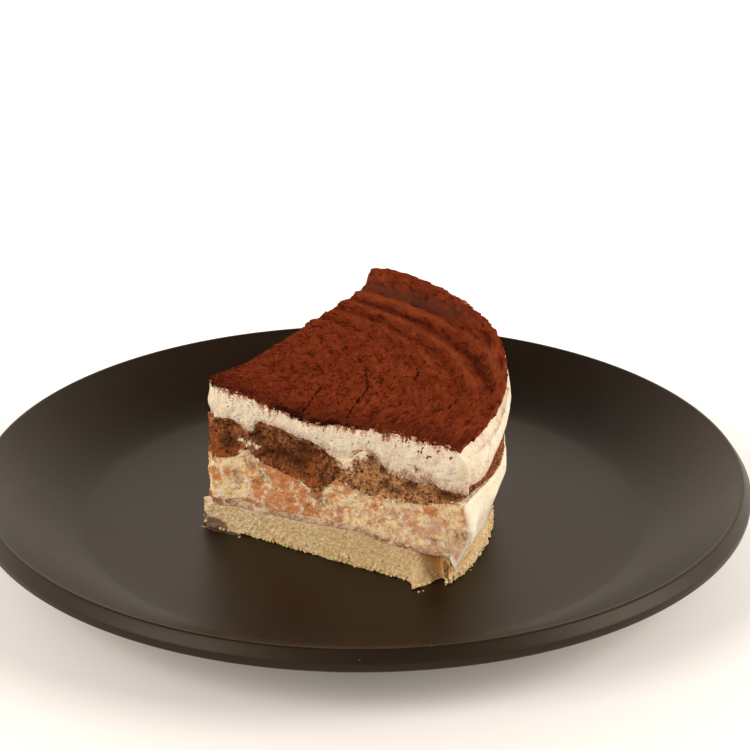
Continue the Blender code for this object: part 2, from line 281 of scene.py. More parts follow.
# Mesh counts, and what counts as an edge or a wall in a mesh of unit size
COCOA_COLUMNS = 256
COCOA_ROWS = 328
HEM_RINGS = 4
UNDERSIDE_COARSENESS = 8
COAT_PARTS = (8, 430, 46)
LID_INSETS = (0.006, 0.008, 0.01, 0.014, 0.02, 0.03, 0.05, 0.08, 0.1)
CORNER_PASSES = 5
AT_EDGE = 0.001
ON_WALL = 0.9995

# Stains, by their distance from the tip or their angle
PATCH_SIZE = 3.5
ORANGE_BY_TIP = 0.70
ORANGE_PLACE = 27
ORANGE_WIDTH = 13
PINK_BY_RIM = 0.24
PINK_FROM = 42
PINK_REACH = 14
PALE_FROM = 36
PALE_REACH = 8
TEAR_FOOT = 71.0
TEAR_HEAD = 66.0
TEAR_WIDTH = 2.9
SMEAR_LOW = 10.4
SMEAR_HIGH = 11.8
SMEAR_FROM = -28
SMEAR_RISE = 9
SMEAR_WIDTH = 0.9
SMEAR_ANGLE = -24
SMEAR_TURN = 6

# Loose pieces, and the crumbs on the plate as (x, y, size)
SPECK_SEED = 7
CRUMB_SEED = 11
RAY_START = 12
CRUMB_RAY_START = 90
RIM_SPECKS = 24
RIM_SPECK_HEIGHTS = (34, 44)
LOWEST_SPECK = 8
FLAKE_LUMPS = 5
FALLEN_CRUMBS = (
    (-31.8, -14.6, 0.7), (14.2, -45.6, 0.6), (15.4, -44.9, 0.5), (27.5, -33.5, 0.5),
)
SYRUP_PLACE = 5.5
SYRUP_LENGTH = 5.2
SYRUP_WIDTH = 1.7
SYRUP_HEIGHT = 0.28

# Studio, with each wall fade as (from, to, first strength, last strength)
WALL_COLOUR = (1.0, 0.89, 0.765, 1.0)
WALL_RISE = (0.45, 0.80, 1.0, 0.10)
WALL_DEPTH = (-0.9, 0.3, 0.6, 1.72)
LIGHT_TARGET = Vector((0, 0, 0.02))
LIGHT_SIDE = 0.9
LIGHT_COLOUR = (1.0, 0.97, 0.93)
SOFTBOXES = (
    ("left_softbox", Vector((-1.1, -0.8, 0.8)), 16.0),
    ("right_softbox", Vector((1.3, -0.3, 0.7)), 17.0),
)
STUDIO_RADIUS = 4.0

# Camera, placed from the plate's own circles in the photograph
CAMERA_PLACE = (0.00336, -0.71311, 0.35065)
CAMERA_PITCH = 23.09
CAMERA_ROLL = -0.04
CAMERA_LENS = 144.0
SENSOR_WIDTH = 36.0

Station = namedtuple("Station", "place out angle distance")


def length_property(name, description, default, low, high):
    return FloatProperty(
        name=name, description=description, default=default, min=low, max=high, unit="LENGTH")


def count_property(name, description, default, low, high):
    return IntProperty(name=name, description=description, default=default, min=low, max=high)


def colour_property(name, description, default):
    return FloatVectorProperty(
        name=name, description=description, default=default,
        size=3, min=0.0, max=1.0, subtype="COLOR")


class CakeSizes(bpy.types.PropertyGroup):
    """Sizes of the slice's finer detail."""

    wall_step: length_property(
        "Wall step", "Spacing of the mesh on the cut faces and the rim", 0.00027, 0.0002, 0.002)
    crumb: length_property("Crumb", "Size of the base sponge's crumbs", 0.00075, 0.0004, 0.003)
    clump: length_property(
        "Cocoa clump", "Width of the clumps in the cocoa powder", 0.0011, 0.0004, 0.004)
    cocoa_hang: length_property(
        "Cocoa hang", "How far the cocoa is dragged down the front cut", 0.0026, 0.0, 0.004)
    specks: count_property("Cocoa specks", "Number of loose cocoa specks on the cream", 26, 0, 2000)
    crumbs: count_property(
        "Edge crumbs", "Number of crumbs along the foot of the sponge base", 760, 0, 2000)


class PlateSizes(bpy.types.PropertyGroup):
    """Sizes of the plate's finer detail."""

    turn_steps: count_property("Turn steps", "Steps round the plate", 256, 64, 512)
    slope_steps: count_property("Slope steps", "Steps up the plate's inner slope", 34, 8, 80)


class CakeColours(bpy.types.PropertyGroup):
    """Colours of the layers and the plate."""

    sponge: colour_property("Sponge", "Pale crumb of the base", (0.76, 0.565, 0.305))
    sponge_moist: colour_property("Moist sponge", "Syrup-soaked crumb", (0.72, 0.36, 0.07))
    cream: colour_property("Cream", "Whipped cream", (0.95, 0.83, 0.632))
    cream_pink: colour_property("Pink cream", "Cream stained faintly by coffee", (0.66, 0.36, 0.235))
    stain: colour_property("Stain", "Orange-brown coffee stain", (0.60, 0.185, 0.045))
    stain_dark: colour_property("Dark stain", "Brown coffee stain", (0.27, 0.105, 0.045))
    coffee: colour_property("Coffee sponge", "Coffee-soaked crumb", (0.325, 0.104, 0.034))
    # Wettest crumb, whose colour is also painted as shade in the coffee sponge's pores and hollows
    wet_coffee_and_pore_shade: colour_property("Dark coffee", "Wettest crumb", (0.034, 0.0088, 0.0028))
    cocoa: colour_property("Cocoa", "Dry cocoa powder", (0.195, 0.0300, 0.0092))
    cocoa_moist: colour_property("Moist cocoa", "Cocoa that has drawn moisture", (0.024, 0.0055, 0.0035))
    glaze: colour_property("Glaze", "Satin plate glaze", (0.011, 0.0056, 0.0021))
    floor: colour_property("Floor", "Studio floor", (0.90, 0.852, 0.822))


def lerp(a, b, t):
    return a + (b - a) * t


def ease(t):
    """0 to 1 with level ends."""
    t = min(max(t, 0.0), 1.0)
    return t * t * (3 - 2 * t)


def hump(x, place, width):
    """A bell of height 1 at its place."""
    return math.exp(-(((x - place) / width) ** 2))


def along(pairs, x):
    """The height at x on an eased line through the pairs."""
    if x <= pairs[0][0]:
        return pairs[0][1]
    for (x0, z0), (x1, z1) in zip(pairs, pairs[1:]):
        if x <= x1:
            return lerp(z0, z1, ease((x - x0) / (x1 - x0)))
    return pairs[-1][1]


def ruffle(x, y, z, scale, seed):
    """Smooth noise from -1 to 1."""
    return noise.noise(Vector((x * scale + seed, y * scale - seed, z * scale)))


def rough(point, size, seed):
    """Noise from -1 to 1 whose lumps are about this size."""
    return ruffle(*point, 1 / size, seed)


def cells(point, size, seed):
    """0 at the middle of each cell, rising to about 1 at its walls."""
    place = Vector(point) / size + Vector((seed, seed, seed))
    return (noise.noise(place, noise_basis="VORONOI_F1") + 1) / 2


def direction(angle):
    return Vector((math.cos(math.radians(angle)), math.sin(math.radians(angle))))


def rim_distance(angle, radius):
    """How far the rim circle lies from the tip in this direction."""
    offset = TIP - CAKE_CENTRE
    half = direction(angle).dot(offset)
    return -half + math.sqrt(half * half - offset.length_squared + radius * radius)


def plan(angle, distance):
    """The point in plan at a distance from the tip."""
    return TIP + direction(angle) * distance


def polar(place):
    """The angle and distance from the tip of a point in plan."""
    offset = place - TIP
    return math.degrees(math.atan2(offset.y, offset.x)), offset.length


def from_front(angle, distance):
    """How far a point in plan lies behind the front cut."""
    return distance * math.sin(math.radians(angle - FRONT_ANGLE))


def boundary(pairs, angle, distance, seed):
    """A layer's height: the front cut's line, flatter and shifted towards the back cut."""
    across = ease((angle - FRONT_ANGLE) / (BACK_ANGLE - FRONT_ANGLE))
    mean = sum(z for _, z in pairs) / len(pairs)
    back = lerp(mean, along(pairs, distance * BACK_SQUEEZE + BACK_SHIFT), BACK_SHARE)
    place = plan(angle, distance)
    wave = LAYER_WAVE * ruffle(place.x, place.y, 0, LAYER_WAVE_SCALE, seed)
    return lerp(along(pairs, distance), back, across) + wave


def ridge_strength(angle):
    """0 by the front cut, 1 where the rim is piped up into a ridge."""
    return ease((angle - RIDGE_FADE[0]) / (RIDGE_FADE[1] - RIDGE_FADE[0]))


def swirl(angle, distance):
    """Millimetres in from the rim, counted so that each ripple keeps one value as it drifts inwards."""
    return rim_distance(angle, CREAM_RADII[1]) - distance - SWIRL * (angle - SWIRL_ANGLE)


def top_height(angle, distance):
    """The cocoa's surface: a raised tip, ripples that follow the rim and a ridge along it."""
    inset = rim_distance(angle, CREAM_RADII[1]) - distance
    crest = max(RIDGE_SWIRL + SWIRL * (angle - SWIRL_ANGLE), RIDGE_LEAST_INSET)
    width = RIDGE_WIDTH if inset > crest else RIDGE_OUTER_WIDTH
    level = TOP_LEVEL + TIP_RISE * hump(distance, 0, TIP_RISE_REACH)
    level += RIDGE_HEIGHT * ridge_strength(angle) * hump(inset, crest, width)
    turned = ease((angle - FRONT_ANGLE) / RIPPLE_TURN)
    for place, height in RIPPLES:
        level += height * turned * hump(swirl(angle, distance), place, RIPPLE_WIDTH)
    near_front = 1 - ease((angle - FRONT_ANGLE) / FRONT_BLEND)
    return lerp(level, along(FRONT_TOP, distance), near_front)


def rim_lift(angle, distance):
    """The coffee layer climbs along the rim, away from the front corner."""
    turned = ease((angle - FRONT_ANGLE) / RIM_LIFT_TURN)
    return RIM_LIFT * turned * ease((distance - RIM_LIFT_FROM) / RIM_LIFT_REACH)


def ragged(angle, distance, seed):
    """Fine unevenness of the line where two soft layers meet."""
    point = (*plan(angle, distance), 0)
    return 0.45 * rough(point, 3.1, seed) + 0.22 * rough(point, 1.2, seed + 5)


def base_top(angle, distance):
    return boundary(BASE_TOP, angle, distance, BASE_SEED) + 0.5 * ragged(angle, distance, 1.0)


def seam_top(angle, distance):
    return boundary(SEAM_TOP, angle, distance, BASE_SEED) + 0.6 * ragged(angle, distance, 2.0)


def on_band(fade, angle, distance):
    """0 away from the rim's band of coffee sponge, 1 on it."""
    from_angle, turn, from_distance, run = fade
    return ease((angle - from_angle) / turn) * ease((distance - from_distance) / run)


def coffee_foot(angle, distance):
    lift = rim_lift(angle, distance)
    line = boundary(COFFEE_FOOT, angle, distance, COFFEE_FOOT_SEED)
    dip = RIM_BAND_DIP * on_band(RIM_BAND_FOOT, angle, distance)
    return line + lift - dip + ragged(angle, distance, 3.0)


def coffee_head(angle, distance):
    lift = rim_lift(angle, distance)
    line = boundary(COFFEE_HEAD, angle, distance, COFFEE_HEAD_SEED)
    band = RIM_BAND_LIFT * on_band(RIM_BAND_HEAD, angle, distance)
    return line + lift + band + ragged(angle, distance, 4.0)


def widening(angle):
    """0 where the cocoa stops short of the front corner's rim, 1 where it reaches the rim."""
    return ease((angle - COCOA_WIDENS[0]) / (COCOA_WIDENS[1] - COCOA_WIDENS[0]))


def cream_top(angle, distance):
    """The upper cream's head, which rounds over outside the cocoa."""
    inset = rim_distance(angle, CREAM_RADII[1]) - distance
    kept = 1 - SHOULDER_LOSS * widening(angle)
    drop = SHOULDER_DROP * kept * ease(1 - inset / SHOULDER_REACH)
    return under_ceiling(top_height(angle, distance)) - COCOA_DEPTH - 0.1 - drop


def plate_floor(angle, distance):
    return PLATE_FLOOR + 0.05


def shared_relief(point):
    """The cut faces' slow waviness, the same for every layer."""
    return CREAM_RELIEF * ruffle(*point, CREAM_SCALE, WALL_SEED)


def spot_cover(spots, distance, height, seed):
    """How deep a place on the front cut lies in the nearest spot: 1 in its middle, 0 well outside."""
    point = (distance, 0, height)
    x = distance + 0.9 * rough(point, 2.2, seed) + 0.4 * rough(point, 0.8, seed + 3)
    z = height + 0.8 * rough(point, 2.0, seed + 7) + 0.4 * rough(point, 0.8, seed + 9)
    best = 0.0
    for middle, level, half_x, half_z in spots:
        reach = math.hypot((x - middle) / half_x, (z - level) / half_z)
        best = max(best, 1 - reach / 1.7)
    return best


def patch_cover(point, size, share, seed):
    """Ragged patches of about this size that cover roughly this share of a face."""
    value = rough(point, size, seed) + 0.45 * rough(point, size * 0.4, seed + 11)
    return ease((value + share - 0.45) * 2.5)


def on_front(station):
    return station.angle < FRONT_ANGLE + 0.6 or station.distance < TIP_WIDTH + 0.2


def on_rim(station):
    return not on_front(station) and station.angle < BACK_ANGLE - 0.6


def cover(spots, point, station, share, seed):
    """Spots where the photograph shows them on the front cut, and like patches on the other faces."""
    if on_front(station):
        return spot_cover(spots, station.distance, point[2], seed)
    return patch_cover(point, PATCH_SIZE, share, seed)


def softened(points, passes):
    """A closed line of points with its corners rounded a little."""
    for _ in range(passes):
        count = len(points)
        points = [
            points[i - 1] * 0.25 + points[i] * 0.5 + points[(i + 1) % count] * 0.25
            for i in range(count)
        ]
    return points


def side_counts():
    """Mesh columns along the front cut, the rim, the back cut and the blunt tip."""
    step = bpy.context.scene.cake_sizes.wall_step / MM
    radius = CREAM_RADII[0]
    rim = (plan(FRONT_ANGLE, rim_distance(FRONT_ANGLE, radius)) - CAKE_CENTRE).angle(
        plan(BACK_ANGLE, rim_distance(BACK_ANGLE, radius)) - CAKE_CENTRE) * radius
    front = rim_distance(FRONT_ANGLE, radius) - TIP_WIDTH
    back = rim_distance(BACK_ANGLE, radius) - TIP_WIDTH
    tip = math.radians(BACK_ANGLE - FRONT_ANGLE) * TIP_WIDTH
    return [round(length / step) for length in (front, rim, back, tip)]


def stations(radius):
    """Evenly spaced places round a layer of this outer radius, starting at the tip's front corner."""
    front, rim, back, tip = side_counts()
    far_front = rim_distance(FRONT_ANGLE, radius)
    far_back = rim_distance(BACK_ANGLE, radius)
    ways = [(FRONT_ANGLE, lerp(TIP_WIDTH, far_front, i / front)) for i in range(front)]
    for i in range(rim):
        angle = lerp(FRONT_ANGLE, BACK_ANGLE, i / rim)
        ways.append((angle, rim_distance(angle, radius)))
    ways += [(BACK_ANGLE, lerp(far_back, TIP_WIDTH, i / back)) for i in range(back)]
    ways += [(lerp(BACK_ANGLE, FRONT_ANGLE, i / tip), TIP_WIDTH) for i in range(tip)]
    places = softened([plan(*way) for way in ways], CORNER_PASSES)
    found = []
    for i, (angle, distance) in enumerate(ways):
        run = places[(i + 1) % len(places)] - places[i - 1]
        out = Vector((run.y, -run.x)).normalized()
        found.append(Station(places[i], out, angle, distance))
    return found


def drum(around, courses, insets):
    """A closed drum of radius 1, cut into courses, with rings inset in its lid."""
    mesh = bmesh.new()
    bmesh.ops.create_cone(
        mesh, cap_ends=True, cap_tris=False, segments=around, radius1=1, radius2=1, depth=1)
    uprights = [
        edge for edge in mesh.edges
        if abs(edge.verts[0].co.z - edge.verts[1].co.z) > 0.5
    ]
    bmesh.ops.subdivide_edges(mesh, edges=uprights, cuts=courses - 1, use_grid_fill=True)
    lids = [face for face in mesh.faces if len(face.verts) == around]
    upper = max(lids, key=lambda face: face.calc_center_median().z)
    for thickness in insets:
        bmesh.ops.inset_individual(mesh, faces=[upper], thickness=thickness, use_even_offset=True)
    bmesh.ops.poke(mesh, faces=lids)
    return mesh


def link_object(name, data):
    made = bpy.data.objects.new(name, data)
    bpy.context.scene.collection.objects.link(made)
    return made


def link_mesh(name, mesh, material):
    """Turns the bmesh into an object of this material."""
    data = bpy.data.meshes.new(name)
    mesh.to_mesh(data)
    mesh.free()
    data.materials.append(material)
    return link_object(name, data)


def finish_mesh(name, mesh, material):
    """Turns the bmesh into a smooth object that rides on the one body."""
    bmesh.ops.recalc_face_normals(mesh, faces=mesh.faces)
    piece = link_mesh(name, mesh, material)
    piece.data.shade_smooth()
    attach(piece, "root")
    return piece


def mask_layer(mesh):
    """The attribute that the finishes read: four masks on every vertex."""
    return mesh.verts.layers.float_color.new("masks")


def make_layer(name, node, foot, head, radii, courses, relief, masks, finish, insets=()):
    """One layer of the slice, fine enough for its crumb, in the place of its solid.

    relief gives how far a wall point moves out and up, and masks what is stained there or where shade is
    painted."""
    feet = stations(radii[0])
    heads = stations(radii[1])
    around = len(feet)
    mesh = drum(around, courses, insets)
    painted = mask_layer(mesh)
    for vert in mesh.verts:
        radius = math.hypot(vert.co.x, vert.co.y)
        i = round(math.atan2(vert.co.y, vert.co.x) / math.tau * around) % around
        w = vert.co.z + 0.5
        low, high = feet[i], heads[i]
        place = lerp(low.place, high.place, w)
        on_wall = radius > ON_WALL
        if on_wall:
            angle, distance = low.angle, lerp(low.distance, high.distance, w)
        else:
            place = lerp(MIDDLE, place, radius)
            angle, distance = polar(place)
        z = lerp(foot(angle, distance), head(angle, distance), w)
        point = (place.x, place.y, z)
        station = Station(place, low.out, angle, distance)
        out, up = relief(point, station, w)
        if on_wall:
            place = place + low.out * (shared_relief(point) + out)
        vert.co = Vector((place.x, place.y, z + up)) * MM
        vert[painted] = masks(point, station, w)
    piece = finish_mesh(name, mesh, finish())
    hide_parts(node)


class Value:
    """A shader socket that adds a Math node whenever it is used in arithmetic."""

    def __init__(self, nodes, socket):
        self.nodes = nodes
        self.socket = socket

    def other(self, output):
        """Another output of the same node."""
        return Value(self.nodes, self.socket.node.outputs[output])

    def math(self, operation, *others):
        values = dict(enumerate((self, *others)))
        return self.nodes.node("ShaderNodeMath", {"operation": operation}, values)

    def __add__(self, other):
        return self.math("ADD", other)

    def __sub__(self, other):
        return self.math("SUBTRACT", other)

    def __mul__(self, other):
        return self.math("MULTIPLY", other)

    __radd__ = __add__
    __rmul__ = __mul__

    def __rsub__(self, other):
        return self.nodes.node("ShaderNodeMath", {"operation": "SUBTRACT"}, {0: other, 1: self})

    def eased(self, low, high, first=0.0, last=1.0):
        """The first value below low and the last above high, with level ends."""
        return self.nodes.node(
            "ShaderNodeMapRange", {"interpolation_type": "SMOOTHSTEP"},
            {"Value": self, "From Min": low, "From Max": high, "To Min": first, "To Max": last})


class Nodes:
    """A tree of shader nodes and the one way to add to it."""

    def __init__(self, tree):
        self.tree = tree

    def node(self, kind, settings=None, inputs=None, output=0):
        """Adds a node, sets its settings first, then the values or links of its sockets."""
        node = self.tree.nodes.new(kind)
        for name, value in (settings or {}).items():
            setattr(node, name, value)
        for name, value in (inputs or {}).items():
            self.feed(node.inputs[name], value)
        return Value(self, node.outputs[output])

    def feed(self, socket, value):
        """Links a value to a socket, or sets the socket to a number, vector or colour."""
        if isinstance(value, Value):
            self.tree.links.new(value.socket, socket)
            return
        if socket.type == "RGBA" and len(value) == 3:
            value = (*value, 1.0)
        socket.default_value = value


class Finish(Nodes):
    """A procedural material: its Principled shader, and what its patterns are made of."""

    def __init__(self, name, **settings):
        self.material = bpy.data.materials.new(name)
        self.material.use_nodes = True
        super().__init__(self.material.node_tree)
        self.shader = self.tree.nodes["Principled BSDF"]
        for socket, value in settings.items():
            self.out(socket.replace("_", " "), value)

    def out(self, socket, value):
        self.feed(self.shader.inputs[socket], value)

    def done(self, colour, relief, depth, strength, roughness=None):
        """Feeds the shader its colour, a relief this many millimetres deep, and a roughness."""
        self.out("Base Color", colour)
        if roughness:
            self.out("Roughness", roughness)
        heights = {"Height": relief, "Distance": depth * MM, "Strength": strength}
        self.out("Normal", self.node("ShaderNodeBump", None, heights))
        return self.material

    def place(self, shift=0.0):
        """Object coordinates in millimetres, shifted."""
        source = self.node("ShaderNodeTexCoord", output="Object")
        return self.node(
            "ShaderNodeVectorMath", {"operation": "MULTIPLY_ADD"},
            {0: source, 1: (1 / MM,) * 3, 2: (shift,) * 3})

    def grain(self, size, detail=2.0, roughness=0.5, shift=0.0, warp=0.0, at=None):
        """Noise from 0 to 1 whose lumps are about this size in millimetres."""
        return self.node(
            "ShaderNodeTexNoise", {"noise_dimensions": "3D"},
            {"Vector": at or self.place(shift), "Scale": 1.0 / size, "Detail": detail,
             "Roughness": roughness, "Distortion": warp})

    def swept(self):
        """Millimetres out from the cake's centre and round it, which draws noise round the rim."""
        split = self.node("ShaderNodeSeparateXYZ", None, {0: self.place()})
        x = split - CAKE_CENTRE.x
        y = split.other("Y") - CAKE_CENTRE.y
        turn = y.math("ARCTAN2", x)
        arm = (x * x + y * y).math("SQRT")
        return self.node("ShaderNodeCombineXYZ", None, {0: arm, 1: turn * SWEEP_LENGTH, 2: 0.0})

    def blotch(self, mask, texture, spread=2.2, soft=0.0):
        """Where a soft mask and a texture together make a ragged stain, from 0 to 1."""
        return (mask + (texture - 0.5) * spread).eased(0.22 - soft, 0.66 + soft)

    def cells(self, size, shift=0.0):
        """Distance to the middle of the nearest cell."""
        return self.node(
            "ShaderNodeTexVoronoi", {"feature": "F1"},
            {"Vector": self.place(shift), "Scale": 1.0 / size}, output="Distance")

    def masks(self):
        """The four masks stored on the piece's vertices."""
        source = self.node("ShaderNodeAttribute", {"attribute_name": "masks"}, output="Color")
        split = self.node("ShaderNodeSeparateColor", None, {0: source})
        return split, split.other(1), split.other(2), source.other("Alpha")

    def mix(self, share, first, second):
        """A colour between two colours."""
        return self.node(
            "ShaderNodeMix", {"data_type": "RGBA", "clamp_factor": True},
            {0: share, 6: first, 7: second}, output=2)

    def paint(self, colour, *coats):
        """Lays coats over a colour, each given as its share and its own colour."""
        for share, coat in coats:
            colour = self.mix(share, colour, coat)
        return colour


def soft_food(name, **settings):
    """A finish that light enters a little way, as it does cream and crumb."""
    return Finish(
        name, Roughness=0.6, Subsurface_Weight=0.35, Subsurface_Radius=(1.0, 0.55, 0.3),
        Subsurface_Scale=0.0006, Specular_IOR_Level=0.2, **settings)


def colours():
    return bpy.context.scene.cake_colours


def base_sponge_finish():
    """Pale crumb: darker and yellower in its clefts, hollows and pores as painted shade, with painted
    highlights on its clumps and finer grain, painted shade over the front cut away from the tip, and a
    few soaked places.
    """
    shade = colours()
    f = soft_food("pale_crumb")
    orange, wet, edge, painted_shade = f.masks()
    crumb = f.cells(0.6)
    pores = f.cells(1.5, shift=6.0)
    fine = f.grain(0.4, detail=3.0, roughness=0.6)
    broad = f.grain(6.0, detail=2.0)
    clumps = f.grain(1.1, detail=3.0, roughness=0.65, shift=13.0)
    colour = f.paint(
        shade.sponge,
        (broad.eased(0.35, 0.7), (0.78, 0.58, 0.32)),
        # Painted shade in the crumb's clefts, its finer hollows, its pores and between its clumps, then
        # painted highlights on its clumps and finer grain
        (crumb.eased(0.35, 0.75) * 0.6, (0.52, 0.31, 0.12)),
        (fine.eased(0.44, 0.28) * 0.35, (0.50, 0.30, 0.125)),
        (pores.eased(0.28, 0.14) * 0.6, (0.50, 0.29, 0.11)),
        (clumps.eased(0.48, 0.33) * 0.55, (0.50, 0.31, 0.115)),
        (clumps.eased(0.51, 0.68) * 0.6, (0.96, 0.85, 0.60)),
        (fine.eased(0.55, 0.72) * 0.55, (0.95, 0.84, 0.61)),
        (f.blotch(orange, fine, 1.2), shade.sponge_moist),
        (f.blotch(wet, fine * 0.5 + broad * 0.5, 1.6) * 0.85, (0.10, 0.045, 0.033)),
        (edge.eased(0.3, 1.0) * 0.5, (0.78, 0.58, 0.40)),
        # Painted shade over the front cut, deeper away from the tip
        (painted_shade, (0.44, 0.28, 0.12)),
    )
    return f.done(colour, fine + clumps - crumb * 0.6, 0.3, 0.8, 0.85 - orange * 0.3 - wet * 0.4)


def seam_finish():
    """The thin soaked line between the base and the cream."""
    shade = colours()
    f = soft_food("coffee_line")
    brown, pale, _, _ = f.masks()
    fine = f.grain(0.7, detail=3.0, roughness=0.6)
    patch = f.grain(2.6, detail=2.0, shift=6.0)
    colour = f.paint(
        (0.34, 0.165, 0.095),
        (fine.eased(0.38, 0.62), (0.66, 0.42, 0.28)),
        (f.blotch(pale, patch, 2.2, 0.2), (0.84, 0.64, 0.42)),
        (f.blotch(brown, fine) * 0.9, shade.stain_dark),
    )
    return f.done(colour, fine, 0.3, 0.6)


def stained_cream_finish(name):
    """Cream with coffee bled into it in orange, brown and pink, painted shade between its lumps and in
    its finer hollows, and painted highlights on its lumps and finer grain; the last mask keeps it plain.
    """
    shade = colours()
    f = soft_food(name)
    orange, brown, pink, plain = f.masks()
    mottle = f.grain(2.6, detail=6.0, roughness=0.74, warp=0.7)
    second = f.grain(1.8, detail=5.0, roughness=0.72, shift=17.0, warp=0.6)
    third = f.grain(2.3, detail=4.0, roughness=0.62, shift=31.0)
    fine = f.grain(0.42, detail=3.0, roughness=0.6, shift=5.0)
    colour = f.paint(
        (0.97, 0.79, 0.46),
        (mottle.eased(0.35, 0.65), (0.93, 0.63, 0.30)),
        (f.blotch(pink, second, 3.6, 0.06) * 0.85, shade.cream_pink),
        (f.blotch(orange, mottle, 3.6, 0.06) * 0.88, shade.stain),
        (f.blotch(brown, third, 3.4, 0.2) * 0.9, shade.stain_dark),
        # Painted shade between the lumps and in the finer hollows, then painted highlights on the lumps
        # and finer grain
        (third.eased(0.48, 0.32) * 0.6, (0.48, 0.18, 0.060)),
        (third.eased(0.50, 0.68) * 0.85, (0.98, 0.86, 0.61)),
        (fine.eased(0.46, 0.30) * 0.55, (0.45, 0.20, 0.085)),
        (fine.eased(0.56, 0.72) * 0.5, (0.96, 0.84, 0.60)),
        (plain, shade.cream),
    )
    return f.done(colour, fine + third * 1.6, 0.35, 0.8, 0.45 + fine * 0.3)


def coffee_sponge_finish():
    """Coffee-soaked crumb with cream pressed into it, painted shade in its pores and finer hollows and
    painted highlights on its finer grain.
    """
    shade = colours()
    f = Finish("coffee_crumb", Roughness=0.65, Specular_IOR_Level=0.04, Subsurface_Weight=0.15,
               Subsurface_Radius=(1.0, 0.4, 0.2), Subsurface_Scale=0.0008)
    cream, orange, dark, pale = f.masks()
    crumb = f.cells(0.8)
    holes = f.cells(1.4, shift=9.0)
    fine = f.grain(0.5, detail=3.0, roughness=0.65)
    mottle = f.grain(1.8, detail=5.0, roughness=0.7, shift=3.0, warp=0.5)
    mixed = fine * 0.5 + mottle * 0.5
    colour = f.paint(
        (0.085, 0.026, 0.0095),
        (mottle.eased(0.38, 0.64), shade.coffee),
        (f.blotch(orange, mottle, 2.8, 0.2) * 0.85, (0.34, 0.092, 0.020)),
        (f.blotch(pale, mixed, 3.6, 0.15) * 0.85, (0.66, 0.345, 0.145)),
        (f.blotch(dark * 0.8, mixed, 3.6, 0.15) * 0.92, shade.wet_coffee_and_pore_shade),
        # Painted shade in the pores and the finer hollows, then painted highlights on the finer grain
        (holes.eased(0.26, 0.14) * 0.75, shade.wet_coffee_and_pore_shade),
        (fine.eased(0.44, 0.28) * 0.5, shade.wet_coffee_and_pore_shade),
        (fine.eased(0.56, 0.72) * 0.5, (0.36, 0.135, 0.045)),
        (f.blotch(cream, mixed, 3.0, 0.1), (0.86, 0.69, 0.47)),
    )
    return f.done(colour, fine - crumb * 0.8, 0.4, 0.8, 0.5 + fine * 0.3)


def cream_finish():
    """Whipped cream, with cocoa dragged over its upper edge and coffee bled into its foot, painted shade
    between its lumps, in its finer hollows and in a hollow of the front cut, and painted highlights on
    its lumps.
    """
    shade = colours()
    f = soft_food("torn_cream")
    dust, brown, hollow, pink = f.masks()
    fine = f.grain(0.45, detail=3.0, roughness=0.6, shift=4.0)
    lumps = f.grain(2.4, detail=4.0, roughness=0.6, shift=11.0)
    broad = f.grain(7.0, detail=1.0)
    powder = f.grain(0.42, detail=4.0, roughness=0.7, shift=21.0)
    faded = f.mix(dust.eased(0.3, 1.0), (0.46, 0.150, 0.070), (0.17, 0.034, 0.012))
    colour = f.paint(
        shade.cream,
        (broad.eased(0.35, 0.65), (0.91, 0.765, 0.575)),
        # Painted shade between the lumps and in the finer hollows, then painted highlights on the lumps
        (lumps.eased(0.45, 0.32) * 0.4, (0.82, 0.68, 0.43)),
        (fine.eased(0.45, 0.30) * 0.3, (0.66, 0.49, 0.30)),
        (lumps.eased(0.52, 0.66) * 0.7, (0.97, 0.89, 0.73)),
        (f.blotch(pink, lumps * 0.6 + fine * 0.4, 2.0) * 0.8, (0.80, 0.57, 0.42)),
        (f.blotch(brown, fine * 0.6 + lumps * 0.4, 3.4, 0.1) * 0.85, (0.33, 0.145, 0.065)),
        # Painted shade in a hollow of the front cut
        (f.blotch(hollow, fine, 1.6, 0.3) * 0.45, (0.50, 0.42, 0.21)),
        ((dust + (powder - 0.5) * 3.2).eased(0.15, 0.6) * 0.92, faded),
    )
    return f.done(colour, lumps * 2.0 + fine * 1.3, 0.5, 0.9, 0.5 + fine * 0.25)


